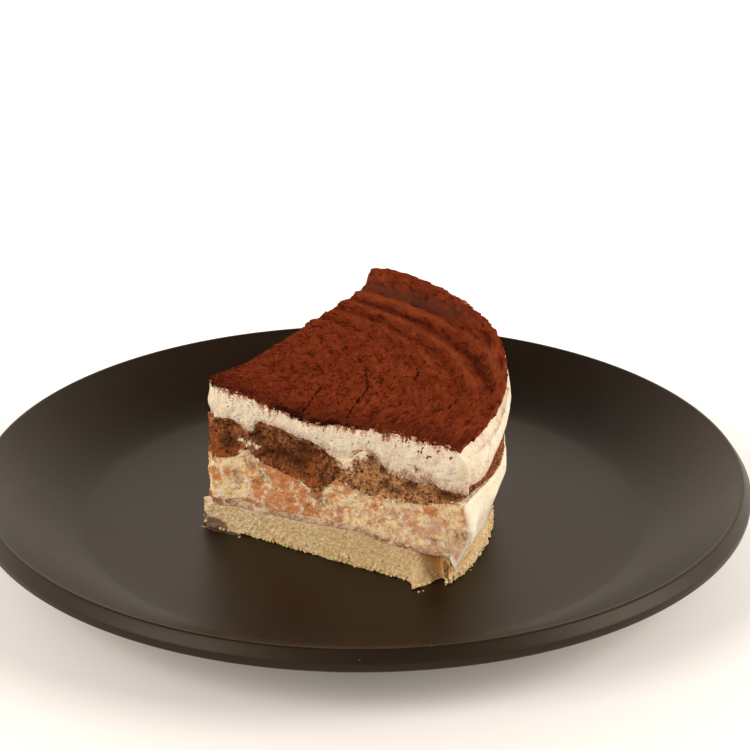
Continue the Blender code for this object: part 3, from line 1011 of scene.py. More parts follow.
def cocoa_finish():
    """Felted cocoa powder with painted shade in its clefts, ripple valleys and cracks and along the
    front cut, painted highlights on its clumps and ripple crests, and moist along the front edge.
    """
    shade = colours()
    f = Finish("cocoa_powder", Roughness=1.0, Specular_IOR_Level=0.0)
    moist, bare, smooth, painted_light_and_shade = f.masks()
    around = f.swept()
    felt = f.grain(0.9, detail=5.0, roughness=0.72, warp=0.6, at=around)
    clump = f.grain(2.1, detail=4.0, roughness=0.66, warp=0.6, at=around)
    fine = f.grain(0.3, detail=2.0)
    broad = f.grain(9.0, detail=2.0, shift=8.0)
    colour = f.paint(
        shade.cocoa,
        (broad.eased(0.3, 0.7), (0.245, 0.040, 0.0125)),
        # Painted shade in the clefts between clumps, then painted highlights on the clumps
        (clump.eased(0.51, 0.34) * 0.8, (0.050, 0.0080, 0.0032)),
        (clump.eased(0.53, 0.68) * 0.6, (0.33, 0.070, 0.023)),
        (felt.eased(0.48, 0.33) * 0.9, (0.028, 0.0055, 0.0028)),
        (felt.eased(0.54, 0.68) * 0.55, (0.36, 0.080, 0.027)),
        # Painted highlights on the ripple crests, then painted shade in the valleys, the cracks and
        # along the front cut
        (painted_light_and_shade.eased(0.5, 1.0) * 0.7, (0.32, 0.070, 0.023)),
        (painted_light_and_shade.eased(0.5, 0.0) * 0.7, (0.045, 0.0085, 0.0042)),
        (f.cells(3.2, shift=4.0).eased(0.055, 0.03) * 0.7, (0.62, 0.30, 0.20)),
        (smooth * 0.7, (0.115, 0.036, 0.024)),
        (f.blotch(moist, felt, 2.6) * 0.9, shade.cocoa_moist),
        # Painted shade, almost black, deep in the cracks
        (painted_light_and_shade.eased(0.0, -0.6) * 0.9, (0.010, 0.004, 0.003)),
        (f.blotch(bare, fine, 1.4), shade.cream),
    )
    return f.done(colour, fine * 0.5 + felt * 1.8 + clump, 0.7, 1.0, 1.0 - moist * 0.3)


def glaze_finish():
    """Satin dark glaze with faint mottling, fine pits and a few pale specks."""
    f = Finish("satin_glaze", IOR=1.31, Specular_Tint=(1.0, 0.86, 0.69, 1.0))
    mottle = f.grain(14.0, detail=3.0)
    fine = f.grain(0.5, detail=2.0)
    colour = f.paint(
        colours().glaze,
        (mottle.eased(0.3, 0.7), (0.0130, 0.0068, 0.0026)),
        (f.cells(5.5, shift=2.0).eased(0.05, 0.02) * 0.4, (0.20, 0.18, 0.15)),
    )
    return f.done(colour, fine, 0.05, 0.25, 0.34 + fine * 0.10 + mottle * 0.05)


def two_toned(f, mottle, first, second, relief_size, depth, strength):
    """A plain finish for small loose pieces: two colours and a fine relief."""
    return f.done(f.mix(mottle, first, second), f.grain(relief_size), depth, strength)


def speck_finish():
    f = Finish("cocoa_flakes", Roughness=0.95, Specular_IOR_Level=0.1)
    mottle = f.grain(0.8).eased(0.4, 0.6)
    return two_toned(f, mottle, (0.12, 0.027, 0.012), (0.26, 0.070, 0.030), 0.25, 0.2, 0.6)


def crumb_finish():
    f = soft_food("loose_crumb")
    mottle = f.grain(0.9).eased(0.4, 0.62)
    return two_toned(f, mottle, (0.60, 0.40, 0.175), (0.80, 0.61, 0.33), 0.3, 0.2, 0.7)


def syrup_finish():
    f = Finish("coffee_syrup", Roughness=0.12, Coat_Weight=0.6)
    mottle = f.grain(1.2).eased(0.4, 0.6)
    return two_toned(f, mottle, (0.045, 0.022, 0.014), (0.09, 0.045, 0.03), 1.5, 0.2, 0.4)


def floor_finish():
    """A pale floor with a painted shadow under the plate, darker and warmer there, and painted light
    where it glows faintly further back.
    """
    f = Finish("studio_floor", Roughness=0.75, Emission_Strength=1.0)
    split = f.node("ShaderNodeSeparateXYZ", None, {0: f.place()})
    depth = split.other("Y")
    reach = (split * split + depth * depth).math("SQRT")
    colour = f.paint(
        colours().floor,
        (f.grain(400.0).eased(0.3, 0.7), (0.91, 0.862, 0.835)),
        # Painted shadow under the plate, darker and warmer
        (reach.eased(98.0, 74.0), (0.70, 0.55, 0.43)),
    )
    f.out("Base Color", colour)
    # Painted light: the floor glows further back, though it is no lamp
    glow = (depth + split.math("ABSOLUTE") * 0.6).eased(-390.0, 400.0)
    f.out("Emission Color", f.mix(glow, (0.0, 0.0, 0.0), (0.375, 0.375, 0.365)))
    return f.material


def crumb_lumps(point, size, seed):
    """Rounded crumbs with clefts between them, from -1 to 1."""
    return 1 - 2 * min(cells(point, size, seed) * 1.15, 1.0)


def base_relief(point, station, w):
    """Open crumb, spread at its foot, torn open near the corner, with a crumb spur."""
    size = bpy.context.scene.cake_sizes.crumb / MM
    grain = 0.16 * crumb_lumps(point, size, 1.0) + 0.10 * rough(point, 0.5, 2.0)
    ragged_foot = (1 - w) ** 3 * (0.35 + 0.45 * rough(point, 1.1, 6.0))
    up = max(0.0, 0.5 * rough(point, 1.3, 9.0)) * (1 - w) ** 6
    distance, angle = station.distance, station.angle
    if distance < TIP_WIDTH + 0.01:
        return TIP_SPREAD + grain, up
    from_corner = rim_distance(angle, BASE_RADII[0]) * math.radians(angle - FRONT_ANGLE)
    corner = -CORNER_RECESS * hump(from_corner, 0, CORNER_REACH)
    if angle > FRONT_ANGLE + 0.1:
        return grain + corner + ragged_foot * 0.7, up
    notch = lerp(NOTCH_FOOT, NOTCH_HEAD, w)
    if distance > notch + NOTCH_WIDTH:
        return grain + corner - CORNER_TURN * (1 - w), up
    reach = (distance - FOOT_SPREAD_FROM) / (FOOT_SPREAD_TO - FOOT_SPREAD_FROM)
    spread = FOOT_SPREAD * (1 - w) * ease(reach)
    torn = -NOTCH_DEPTH * hump(distance, notch, NOTCH_WIDTH)
    spur = SPUR.length * hump(distance, SPUR_PLACE, SPUR_WIDTH) * (1 - w) ** 2
    return grain + spread + torn + spur + ragged_foot, up


def base_masks(point, station, w):
    """Soaked inside the tear and under the coat's point, wet at the foot of the tip, with painted shade
    over the front cut away from the tip.
    """
    distance, angle, z = station.distance, station.angle, point[2]
    orange, wet, painted_shade = 0.0, 0.0, 0.0
    if on_front(station):
        # Painted shade, deeper along the front cut away from the tip
        painted_shade = 0.30 * ease((distance - 12) / 30)
        tear = hump(distance, lerp(TEAR_FOOT, TEAR_HEAD, w), TEAR_WIDTH)
        orange = tear * (0.35 + 0.75 * w)
        wet = 0.9 * ease((11 - distance) / 7) * ease((11.6 - z - distance * 0.12) / 2.4)
        if distance > TEAR_FOOT:
            orange = max(orange, 0.8 * hump(z, 11.0 + (distance - 73) * 0.4, 0.9))
    elif angle < 0:
        line = lerp(SMEAR_LOW, SMEAR_HIGH, ease((angle - SMEAR_FROM) / SMEAR_RISE))
        orange = hump(z, line, SMEAR_WIDTH) * hump(angle, SMEAR_ANGLE, SMEAR_TURN)
    return (orange, wet, ease((w - 0.86) / 0.14), painted_shade)


def seam_relief(point, station, w):
    return 0.15 + 0.16 * rough(point, 0.9, 3.0) + 0.12 * rough(point, 0.45, 8.0), 0.0


def seam_masks(point, station, w):
    brown = cover(BROWN_IN_SEAM, point, station, 0.1, 4.0)
    pale = 0.1 + 0.3 * w + 0.4 * rough(point, 6.0, 12.0)
    return (brown, pale, 0.0, 0.0)


def stained_relief(point, station, w):
    """Soft lumps with small bubbles."""
    bubble = max(0.0, 0.28 - cells(point, 1.7, 5.0)) * 1.6
    lumps = 0.30 * rough(point, 2.6, 4.0) + 0.20 * rough(point, 1.0, 14.0)
    lumps += 0.08 * rough(point, 0.5, 24.0)
    return lumps - bubble, 0.0


def stained_masks(point, station, w):
    """Stains: orange by the tip and pink towards the rim, stronger against the sponge."""
    orange_by_tip = ORANGE_BY_TIP * hump(station.distance, ORANGE_PLACE, ORANGE_WIDTH)
    pink_by_rim = PINK_BY_RIM * ease((station.distance - PINK_FROM) / PINK_REACH)
    return (
        cover(ORANGE_IN_CREAM, point, station, 0.25, 1.0) + orange_by_tip + 0.35 * hump(w, 1, 0.12),
        cover(BROWN_IN_CREAM, point, station, 0.05, 2.0) + 0.3 * hump(w, 1, 0.07),
        cover(PINK_IN_CREAM, point, station, 0.25, 3.0) + pink_by_rim + 0.35 * hump(w, 0, 0.1),
        0.0,
    )


def pale_share(distance):
    """How much of the coffee sponge is pale with cream: little by the tip, most past the middle."""
    return ease((distance - PALE_FROM) / PALE_REACH) * (1 - 0.35 * hump(distance, 71, 4))


def coffee_masks(point, station, w):
    if on_rim(station):
        return (-0.6, -0.4, -0.9, 0.0)
    edges = (hump(w, 1, 0.12) + hump(w, 0, 0.09)) * (0.5 + 0.5 * pale_share(station.distance))
    return (
        cover(CREAM_IN_COFFEE, point, station, 0.0, 21.0) - 0.16 + 0.55 * edges,
        cover(ORANGE_IN_COFFEE, point, station, 0.15, 22.0) + 0.3 * hump(w, 0, 0.15),
        cover(DARK_IN_COFFEE, point, station, 0.35, 23.0),
        0.06 + 0.42 * pale_share(station.distance),
    )


def coffee_relief(point, station, w):
    """Soaked crumb with open pores, smooth where cream fills it."""
    cream = cover(CREAM_IN_COFFEE, point, station, 0.0, 21.0)
    pore = ease((0.34 - cells(point, 1.9, 7.0)) * 5) * 0.9
    grain = 0.26 * crumb_lumps(point, 0.95, 3.0) + 0.16 * rough(point, 0.5, 13.0)
    sunk = -0.25 * math.sin(math.pi * w)
    return lerp(grain - pore + sunk, 0.35 + 0.15 * rough(point, 1.2, 3.0), cream), 0.0


def whipped(point):
    """Torn whipped cream: broad lumps, small ones and pits."""
    pit = ease((0.26 - cells(point, 1.8, 15.0)) * 5) * 0.3
    drawn = (point[0], point[1], point[2] * 0.45)
    lumps = 0.32 * rough(point, 3.6, 33.0) + 0.26 * rough(drawn, 1.3, 34.0)
    lumps += 0.17 * rough(drawn, 0.62, 35.0)
    return lumps - pit


def upper_relief(point, station, w):
    """Rough on the cuts and smoother where the rim was spread with a blade."""
    smooth = 1.0
    bow = 0.4 * math.sin(math.pi * w) - TIP_DRAW * hump(station.distance, 0, 5)
    if on_rim(station):
        smooth = 0.45
        from_corner = CREAM_RADII[0] * math.radians(station.angle - FRONT_ANGLE)
        bow -= CREAM_CORNER_RECESS * hump(from_corner, 0, 7) * (1 - w)
    return bow + smooth * whipped(point), 0.12 * rough(point, 1.5, 41.0)


def upper_masks(point, station, w):
    """Cocoa dragged down from the top edge, the spots of the layer below, and painted shade in a hollow
    on the front cut.
    """
    distance = station.distance
    below = top_height(station.angle, distance) - COCOA_DEPTH - point[2]
    strokes = rough((point[0], point[1], point[2] * 0.3), 0.9, 51.0)
    front = on_front(station)
    reach = (2.3 if front else 1.7) + 1.6 * rough(point, 4.0, 52.0)
    dust = max(0.9 - below / max(reach, 0.8) + 0.7 * strokes, -1.6)
    brown, hollow = 0.0, 0.0
    if front:
        brown = spot_cover(BROWN_IN_TOP, distance, point[2], 53.0)
        # Painted shade in a hollow of the front cut
        hollow = spot_cover(HOLLOW_SHADE_IN_TOP, distance, point[2], 54.0)
        by_lump = 1 - hump(distance, 45.5, 6.5)
        brown += (0.30 + 0.30 * hump(distance, 58, 12)) * by_lump * hump(w, 0, 0.2)
    pink = 0.16 + 0.3 * rough(point, 5.0, 55.0) + 0.5 * hump(w, 0, 0.22) * ease(distance / 10)
    pink += 0.10 * ease((distance - 35) / 20)
    return (dust, brown, hollow, pink)


def cracked(place):
    """1 on a crack in the cocoa, 0 away from it."""
    point = (*place, 0)
    warped = place + Vector((rough(point, 1.6, 61.0), rough(point, 1.6, 62.0))) * 0.5
    nearest = 10.0
    for crack in CRACKS:
        for start, end in zip(crack, crack[1:]):
            a, run = Vector(start), Vector(end) - Vector(start)
            t = min(max((warped - a).dot(run) / run.length_squared, 0.0), 1.0)
            nearest = min(nearest, (warped - a - run * t).length)
    width = CRACK_WIDTH * (1 + 0.9 * rough(point, 3.0, 63.0))
    return hump(nearest, 0, width)


def powder(place):
    """Clumps of powder with clefts between them, drawn out along the rim's circles by the blade."""
    clump = bpy.context.scene.cake_sizes.clump / MM
    arm = place - CAKE_CENTRE
    point = (arm.length, math.atan2(arm.y, arm.x) * SWEEP_LENGTH, 0)
    broad = 0.18 * rough(point, 4 * clump, 71.0)
    lumps = 0.75 * abs(rough(point, 1.7 * clump, 72.0)) + 0.5 * abs(rough(point, 0.9 * clump, 73.0))
    return broad + lumps - 0.25


def under_ceiling(z):
    """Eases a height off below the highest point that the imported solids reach."""
    over = z - HIGHEST + HIGHEST_REACH
    if over <= 0:
        return z
    return HIGHEST - HIGHEST_REACH * math.exp(-over / HIGHEST_REACH)


def worn_edge(angle, distance):
    """How far the powder's surface drops at its edges and at the ridge's open end."""
    from_back = distance * math.sin(math.radians(BACK_ANGLE - angle))
    from_rim = rim_distance(angle, COCOA_RADII[1]) - distance
    nearest = min(from_front(angle, distance), from_back, from_rim)
    wear = 0.5 + 0.3 * rough((*plan(angle, distance), 0), 2.5, 87.0)
    return wear * hump(nearest, 0, 0.8) + 1.0 * hump(from_back, 0, 2.5) * hump(from_rim, 0, 4.0)


def trough(angle, distance):
    """1 in the smooth hollow behind the ridge, 0 away from it."""
    turned = ease((angle - TROUGH_FROM) / TROUGH_TURN)
    return turned * hump(swirl(angle, distance), TROUGH_SWIRL, TROUGH_WIDTH)


def painted_light_and_shade(angle, distance, crack):
    """Painted light and shade on the powder: 0.5 on the level, more on a crest as a painted highlight,
    less in a valley or crack as painted shade, and less along the front cut.
    """
    turned = ease((angle - FRONT_ANGLE) / RIPPLE_TURN) ** 0.6
    place = swirl(angle, distance)
    point = (*plan(angle, distance), 0)
    place += 1.2 * rough(point, 9.0, 64.0) + 0.5 * rough(point, 3.0, 65.0)
    crests = sum(height * hump(place, at, RIPPLE_WIDTH * 0.6) for at, height in RIPPLES)
    valleys = sum(depth * hump(place, at, RIPPLE_WIDTH * 0.8) for at, depth in VALLEYS)
    patchy = 1 + 0.8 * rough(point, 12.0, 66.0)
    by_front = hump(from_front(angle, distance), 0, 8)
    ripples = turned * patchy * (0.44 * crests - 0.36 * valleys)
    return 0.5 - 0.32 * by_front + ripples - 1.2 * crack


def cocoa_sheet(columns, rows, levels, coarse):
    """A unit square with a skirt round it, down to -1, closed at -2 by a coarser square."""
    mesh = bmesh.new()
    bmesh.ops.create_grid(mesh, x_segments=columns, y_segments=rows, size=0.5)
    ring = [edge for edge in mesh.edges if edge.is_boundary]
    for _ in range(levels):
        grown = bmesh.ops.extrude_edge_only(mesh, edges=ring)["geom"]
        fresh = [item for item in grown if isinstance(item, bmesh.types.BMVert)]
        bmesh.ops.translate(mesh, verts=fresh, vec=(0, 0, -1 / levels))
        ring = [item for item in grown if isinstance(item, bmesh.types.BMEdge) and item.is_boundary]
    under = bmesh.ops.create_grid(
        mesh, x_segments=columns // coarse, y_segments=rows // coarse, size=0.48)["verts"]
    bmesh.ops.translate(mesh, verts=under, vec=(0, 0, -2))
    inner = [edge for edge in {e for vert in under for e in vert.link_edges} if edge.is_boundary]
    bmesh.ops.bridge_loops(mesh, edges=ring + inner)
    bmesh.ops.translate(mesh, verts=mesh.verts, vec=(0.5, 0.5, 0))
    return mesh


def hem_drop(place, front):
    """How far the skirt reaches below the powder's surface: little, with tongues on the front cut."""
    point = (*place, 0)
    drag = 0.9 * rough(point, 1.5, 84.0) + 0.5 * rough(point, 0.6, 86.0)
    drag += 0.6 * rough(point, 3.5, 85.0)
    hang = bpy.context.scene.cake_sizes.cocoa_hang / MM
    return COCOA_DEPTH + 0.15 + hang * (1.0 if front else 0.3) * max(drag, 0.0)


def make_cocoa():
    """The powder as one sheet with a ragged skirt that hangs over the cream's edge."""
    mesh = cocoa_sheet(COCOA_COLUMNS, COCOA_ROWS, HEM_RINGS, UNDERSIDE_COARSENESS)
    painted = mask_layer(mesh)
    for vert in mesh.verts:
        u, v, w = vert.co
        angle = lerp(FRONT_ANGLE, BACK_ANGLE, v)
        outer = rim_distance(angle, lerp(COCOA_RADII[0], COCOA_RADII[1], widening(angle)))
        distance = lerp(TIP_WIDTH, outer, u)
        place = plan(angle, distance)
        if w < -1.5:
            z = under_ceiling(top_height(angle, distance)) - COCOA_DEPTH - 0.5
            vert.co = Vector((place.x, place.y, z)) * MM
            continue
        out = Vector((0.0, 0.0))
        for at_edge, way in (
                (v < AT_EDGE, FRONT_ANGLE - 90), (v > 1 - AT_EDGE, BACK_ANGLE + 90),
                (u > 1 - AT_EDGE, angle), (u < AT_EDGE, angle + 180)):
            if at_edge:
                out += direction(way)
        smooth = trough(angle, distance)
        crack = cracked(place)
        lift = powder(place) * (1 - 0.75 * smooth) - 0.7 * crack - worn_edge(angle, distance)
        top = under_ceiling(top_height(angle, distance) + lift)
        z = top
        if out.length:
            out.normalize()
            front = out.y < -0.5
            point = (place.x, place.y, top)
            jag = 0.65 * rough(point, 1.7, 81.0) + 0.35 * rough(point, 0.8, 82.0)
            drawn = TIP_DRAW * hump(distance, 0, 5)
            push = shared_relief(point) + 0.05 + jag - drawn
            z = top + w * hem_drop(place, front)
            point = (place.x, place.y, z)
            cream = shared_relief(point) + (1.0 if front else 0.45) * whipped(point)
            place = place + out * lerp(push, cream + 0.12 - drawn, ease(-w * 1.3))
        vert.co = Vector((place.x, place.y, z)) * MM
        # Painted light and shade for the powder, a little darker on the skirt
        light = painted_light_and_shade(angle, distance, crack) if w > -0.1 else 0.4
        chip = bare_chip(place, angle, distance)
        vert[painted] = (moist_edge(angle, distance), chip, smooth, light)
    piece = finish_mesh("cocoa_dusting", mesh, cocoa_finish())
    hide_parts("cocoa")


def moist_edge(angle, distance):
    """How far the powder has drawn moisture: a ragged strip along the front cut."""
    point = (*plan(angle, distance), 0)
    reach = 1.3 + 1.5 * rough(point, 7.0, 91.0) + 1.6 * rough(point, 2.0, 92.0)
    reach *= ease((distance - 14) / 8) * (1 - 0.85 * ease((distance - 40) / 9))
    return 0.8 * ease((reach + 0.6 - from_front(angle, distance)) / 2.6)


def bare_chip(place, angle, distance):
    """Small chips at the rim's edge where the cream shows."""
    if angle < -5:
        return 0.0
    inset = rim_distance(angle, COCOA_RADII[1]) - distance
    return ease((rough((*place, 0), 2.6, 95.0) - 0.25) * 4) * ease((0.9 - inset) / 0.5)


def make_rim_coat():
    """The coat of cream round the rim's lower half, sagging to a point at the front corner."""
    mesh = bmesh.new()
    bmesh.ops.create_cube(mesh, size=1)
    bmesh.ops.translate(mesh, verts=mesh.verts, vec=(0.5, 0.5, 0.5))
    for axis, parts in enumerate(COAT_PARTS):
        runs = [
            edge for edge in mesh.edges
            if abs((edge.verts[0].co - edge.verts[1].co)[axis]) > 0.5
        ]
        bmesh.ops.subdivide_edges(mesh, edges=runs, cuts=parts - 1, use_grid_fill=True)
    painted = mask_layer(mesh)
    inner = INNER_RADII[0] - 0.3
    for vert in mesh.verts:
        u, v, w = vert.co
        angle = lerp(FRONT_ANGLE, BACK_ANGLE, v)
        rim = rim_distance(angle, COAT_RADII[0])
        from_corner = rim * math.radians(angle - FRONT_ANGLE)
        low = base_top(angle, rim) + 0.1
        sag = COAT_TIP_DROP * hump(from_corner, 0, COAT_TIP_REACH)
        head = coffee_foot(angle, rim) + 0.1
        z = lerp(low - sag * u, head, w)
        outer = lerp(COAT_RADII[0], COAT_RADII[1], ease(w * COAT_SWELL))
        outer += COAT_CORNER_BULGE * hump(from_corner, 0, COAT_BULGE_REACH) * hump(w, 0.5, 0.4)
        distance = rim_distance(angle, lerp(inner, outer, u))
        place = plan(angle, distance)
        point = (place.x, place.y, z)
        lumps = 0.16 * rough(point, 4.0, 101.0) + 0.08 * rough(point, 1.2, 102.0)
        if u > 0.95:
            edge = -0.5 * (hump(w, 1, 0.06) + hump(w, 0, 0.08)) - 0.4 * hump(v, 0, 0.004)
            place = place + direction(angle) * (shared_relief(point) + lumps + edge)
        if v < AT_EDGE:
            place = place + direction(FRONT_ANGLE - 90) * (shared_relief(point) + lumps)
        vert.co = Vector((place.x, place.y, z)) * MM
        cut = Station(place, None, FRONT_ANGLE, distance)
        edge = max(ease((0.16 - w) / 0.1), ease((u - 0.7) / 0.25))
        if v >= AT_EDGE:
            edge = 1.0 - 0.2 * hump(w, 1, 0.2) - 0.12 * ease(rough(point, 6.0, 103.0))
        vert[painted] = (*stained_masks(point, cut, w)[:3], edge)
    piece = finish_mesh("rim_coat", mesh, stained_cream_finish("spread_cream"))
    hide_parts("rim_cream")


def fillet(before, corner, after, reach, steps):
    """Points that round a profile's corner, starting and ending this far from it."""
    corner = Vector(corner)
    start = corner + (Vector(before) - corner).normalized() * reach
    end = corner + (Vector(after) - corner).normalized() * reach
    points = []
    for step in range(steps + 1):
        t = step / steps
        points.append(start.lerp(corner, t).lerp(corner.lerp(end, t), t))
    return points


def plate_profile():
    """Half of the plate's section, from the middle of its floor over the rim to its underside."""
    steps = bpy.context.scene.plate_sizes.slope_steps
    points = [Vector((FLOOR_RADIUS * t, PLATE_FLOOR)) for t in FLOOR_RINGS]
    slant = math.atan(COUPE_POWER * (CREST_HEIGHT - PLATE_FLOOR) / (CREST_RADIUS - FLOOR_RADIUS))
    slope_end = Vector((
        CREST_RADIUS - CREST_ROUND * math.sin(slant),
        CREST_HEIGHT - CREST_ROUND * (1 - math.cos(slant)),
    ))
    for step in range(1, steps + 1):
        t = step / steps
        rise = (slope_end.y - PLATE_FLOOR) * t ** COUPE_POWER
        points.append(Vector((lerp(FLOOR_RADIUS, slope_end.x, t), PLATE_FLOOR + rise)))
    turn_from = 90 + math.degrees(slant)
    for step in range(1, CREST_STEPS + 1):
        turn = math.radians(lerp(turn_from, CREST_TURN_END, step / CREST_STEPS))
        points.append(Vector((
            CREST_RADIUS + CREST_ROUND * math.cos(turn),
            CREST_HEIGHT - CREST_ROUND + CREST_ROUND * math.sin(turn),
        )))
    line = (
        points[-1], (EDGE_RADIUS, EDGE_HEIGHT), (LIP_RADIUS, LIP_HEIGHT), *UNDERSIDE_SLOPE,
        (FOOT_OUTER + FOOT_SLANT, UNDERSIDE), (FOOT_OUTER, 0), (FOOT_INNER, 0),
        (FOOT_INNER - FOOT_SLANT, UNDERSIDE), (0, UNDERSIDE),
    )
    for before, corner, after, rounding in zip(line, line[1:], line[2:], PLATE_ROUNDS):
        points += fillet(before, corner, after, *rounding)
    return points + [Vector((0, UNDERSIDE))]


def make_plate():
    """The plate's profile spun round its axis."""
    steps = bpy.context.scene.plate_sizes.turn_steps
    mesh = bmesh.new()
    verts = [mesh.verts.new((point.x * MM, 0, point.y * MM)) for point in plate_profile()]
    edges = [mesh.edges.new(pair) for pair in zip(verts, verts[1:])]
    bmesh.ops.spin(
        mesh, geom=verts + edges, cent=(0, 0, 0), axis=(0, 0, 1), angle=math.tau,
        steps=steps, use_merge=True)
    bmesh.ops.remove_doubles(mesh, verts=mesh.verts, dist=0.00001)
    piece = finish_mesh("stoneware_plate", mesh, glaze_finish())
    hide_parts("plate")


def tree_of(piece):
    return BVHTree.FromObject(piece, bpy.context.evaluated_depsgraph_get())


def struck(tree, start, way):
    """Where a ray from start first meets a piece, in millimetres, or None."""
    hit = tree.ray_cast(start * MM, way)
    return hit[0] / MM if hit[0] else None


def add_lump(mesh, place, size, turn, seed, facets=1):
    """A small uneven lump: an icosphere, stretched, dented and turned."""
    made = bmesh.ops.create_icosphere(mesh, subdivisions=facets, radius=0.5)["verts"]
    for vert in made:
        vert.co *= 1 + 0.28 * ruffle(*vert.co, 2.2, seed)
    bmesh.ops.transform(
        mesh, verts=made,
        matrix=Matrix.Translation(place * MM) @ turn @ Matrix.Diagonal((*(size * MM), 1)))


def facing(out, spin):
    """A turn whose Z axis points along out, spun about it."""
    return out.to_track_quat("Z", "Y").to_matrix().to_4x4() @ Matrix.Rotation(spin, 4, "Z")


def ray_in(place, out, height):
    """A ray's start at this place and height outside the slice, and its way back in."""
    return Vector((*place, height)), Vector((-out.x, -out.y, 0))


def front_ray(distance, height):
    out = direction(FRONT_ANGLE - 90)
    return ray_in(plan(FRONT_ANGLE, distance) + out * RAY_START, out, height)


def add_speck(mesh, tree, ray, width, thickness, chance):
    """A flat speck where the ray meets the cream."""
    spot = struck(tree, *ray)
    if spot:
        size = Vector((width, width * chance.uniform(0.6, 1.6), thickness))
        turn = facing(-ray[1], chance.uniform(0, 6.3))
        add_lump(mesh, spot, size, turn, chance.uniform(0, 99))


def make_specks(cream):
    """Cocoa flakes and specks that fell on the cream, thickest just under the cocoa."""
    chance = random.Random(SPECK_SEED)
    tree = tree_of(cream)
    mesh = bmesh.new()
    for distance, height, length, slant in FLAKES:
        start, way = front_ray(distance, height)
        spot = struck(tree, start, way)
        if not spot:
            continue
        turn = facing(-way, math.radians(90 + slant))
        for part in range(FLAKE_LUMPS):
            run = length * (part / (FLAKE_LUMPS - 1) - 0.5) * 0.7
            shift = turn @ Vector((run, chance.uniform(-0.2, 0.2) * length, 0))
            long, wide = length * chance.uniform(0.2, 0.4), length * chance.uniform(0.15, 0.35)
            size = Vector((long, wide, 0.26))
            add_lump(mesh, spot + shift, size, turn, chance.uniform(0, 99), facets=2)
    for _ in range(bpy.context.scene.cake_sizes.specks):
        distance = chance.uniform(3, 78)
        below = 1.2 + chance.expovariate(0.8)
        height = top_height(FRONT_ANGLE, distance) - COCOA_DEPTH - below
        width = chance.uniform(0.25, 0.55)
        if below <= LOWEST_SPECK:
            add_speck(mesh, tree, front_ray(distance, height), width, 0.16, chance)
    for _ in range(RIM_SPECKS):
        angle = chance.uniform(FRONT_ANGLE, BACK_ANGLE)
        height = chance.uniform(*RIM_SPECK_HEIGHTS)
        place = plan(angle, rim_distance(angle, CREAM_RADII[0]) + RAY_START)
        ray = ray_in(place, direction(angle), height)
        add_speck(mesh, tree, ray, chance.uniform(0.12, 0.34), 0.14, chance)
    piece = finish_mesh("cocoa_specks", mesh, speck_finish())


def make_crumbs(base):
    """Crumbs that fringe the foot of the sponge base, and a few that fell on the plate."""
    chance = random.Random(CRUMB_SEED)
    tree = tree_of(base)
    mesh = bmesh.new()
    up = Vector((0, 0, 1))
    for _ in range(bpy.context.scene.cake_sizes.crumbs):
        turn = chance.uniform(0, math.tau)
        out = Vector((math.cos(turn), math.sin(turn)))
        height = PLATE_FLOOR + 0.15 + chance.expovariate(1.6)
        start, way = ray_in(MIDDLE + out * CRUMB_RAY_START, out, height)
        spot = struck(tree, start, way)
        if not spot:
            continue
        size = chance.uniform(0.4, 1.15)
        shape = Vector((size, size * chance.uniform(0.7, 1.1), size * chance.uniform(0.6, 0.9)))
        place = spot - way * size * 0.1
        place.z = max(place.z, PLATE_FLOOR + shape.z * 0.4)
        add_lump(mesh, place, shape, facing(up, chance.uniform(0, 6)), chance.uniform(0, 99))
    for x, y, size in FALLEN_CRUMBS:
        shape = Vector((size, size * 0.8, size * 0.7))
        place = Vector((x, y, PLATE_FLOOR + size * 0.3))
        add_lump(mesh, place, shape, facing(up, size), size * 40, facets=2)
    piece = finish_mesh("sponge_crumbs", mesh, crumb_finish())


def make_syrup():
    """Coffee syrup that has seeped out at the foot of the tip."""
    mesh = bmesh.new()
    made = bmesh.ops.create_uvsphere(mesh, u_segments=48, v_segments=16, radius=1)["verts"]
    along_cut, out = direction(FRONT_ANGLE), direction(FRONT_ANGLE - 90)
    for vert in made:
        turn = math.atan2(vert.co.y, vert.co.x)
        swell = 1 + 0.22 * math.sin(turn * 3 + 0.7) + 0.12 * math.sin(turn * 5)
        place = plan(FRONT_ANGLE, SYRUP_PLACE) + along_cut * vert.co.x * SYRUP_LENGTH * swell
        place += out * (vert.co.y * SYRUP_WIDTH * swell + 0.2)
        height = PLATE_FLOOR + (SYRUP_HEIGHT * max(vert.co.z, 0) - 0.05)
        vert.co = Vector((*place, height)) * MM
    piece = finish_mesh("coffee_syrup", mesh, syrup_finish())


def make_stage():
    """A pale round floor far wider than the plate."""
    mesh = bmesh.new()
    bmesh.ops.create_circle(
        mesh, cap_ends=True, cap_tris=False, segments=96, radius=STUDIO_RADIUS)
    link_mesh("studio_floor", mesh, floor_finish())


def make_world():
    """White walls all round, brightest behind the cake, under a dim ceiling."""
    world = bpy.data.worlds.new("studio")
    bpy.context.scene.world = world
    world.use_nodes = True
    walls = Nodes(world.node_tree)
    back = walls.tree.nodes["Background"]
    source = walls.node("ShaderNodeTexCoord", output="Generated")
    split = walls.node("ShaderNodeSeparateXYZ", None, {0: source})
    strength = split.other("Z").eased(*WALL_RISE) * split.other("Y").eased(*WALL_DEPTH)
    walls.feed(back.inputs["Strength"], strength)
    walls.feed(back.inputs["Color"], WALL_COLOUR)


def add_softbox(name, place, power):
    """A square area light that looks at the foot of the cake."""
    light = bpy.data.lights.new(name, "AREA")
    light.shape = "RECTANGLE"
    light.size = LIGHT_SIDE
    light.size_y = LIGHT_SIDE
    light.energy = power
    light.color = LIGHT_COLOUR
    box = link_object(name, light)
    box.location = place
    box.rotation_euler = (LIGHT_TARGET - place).to_track_quat("-Z", "Y").to_euler()


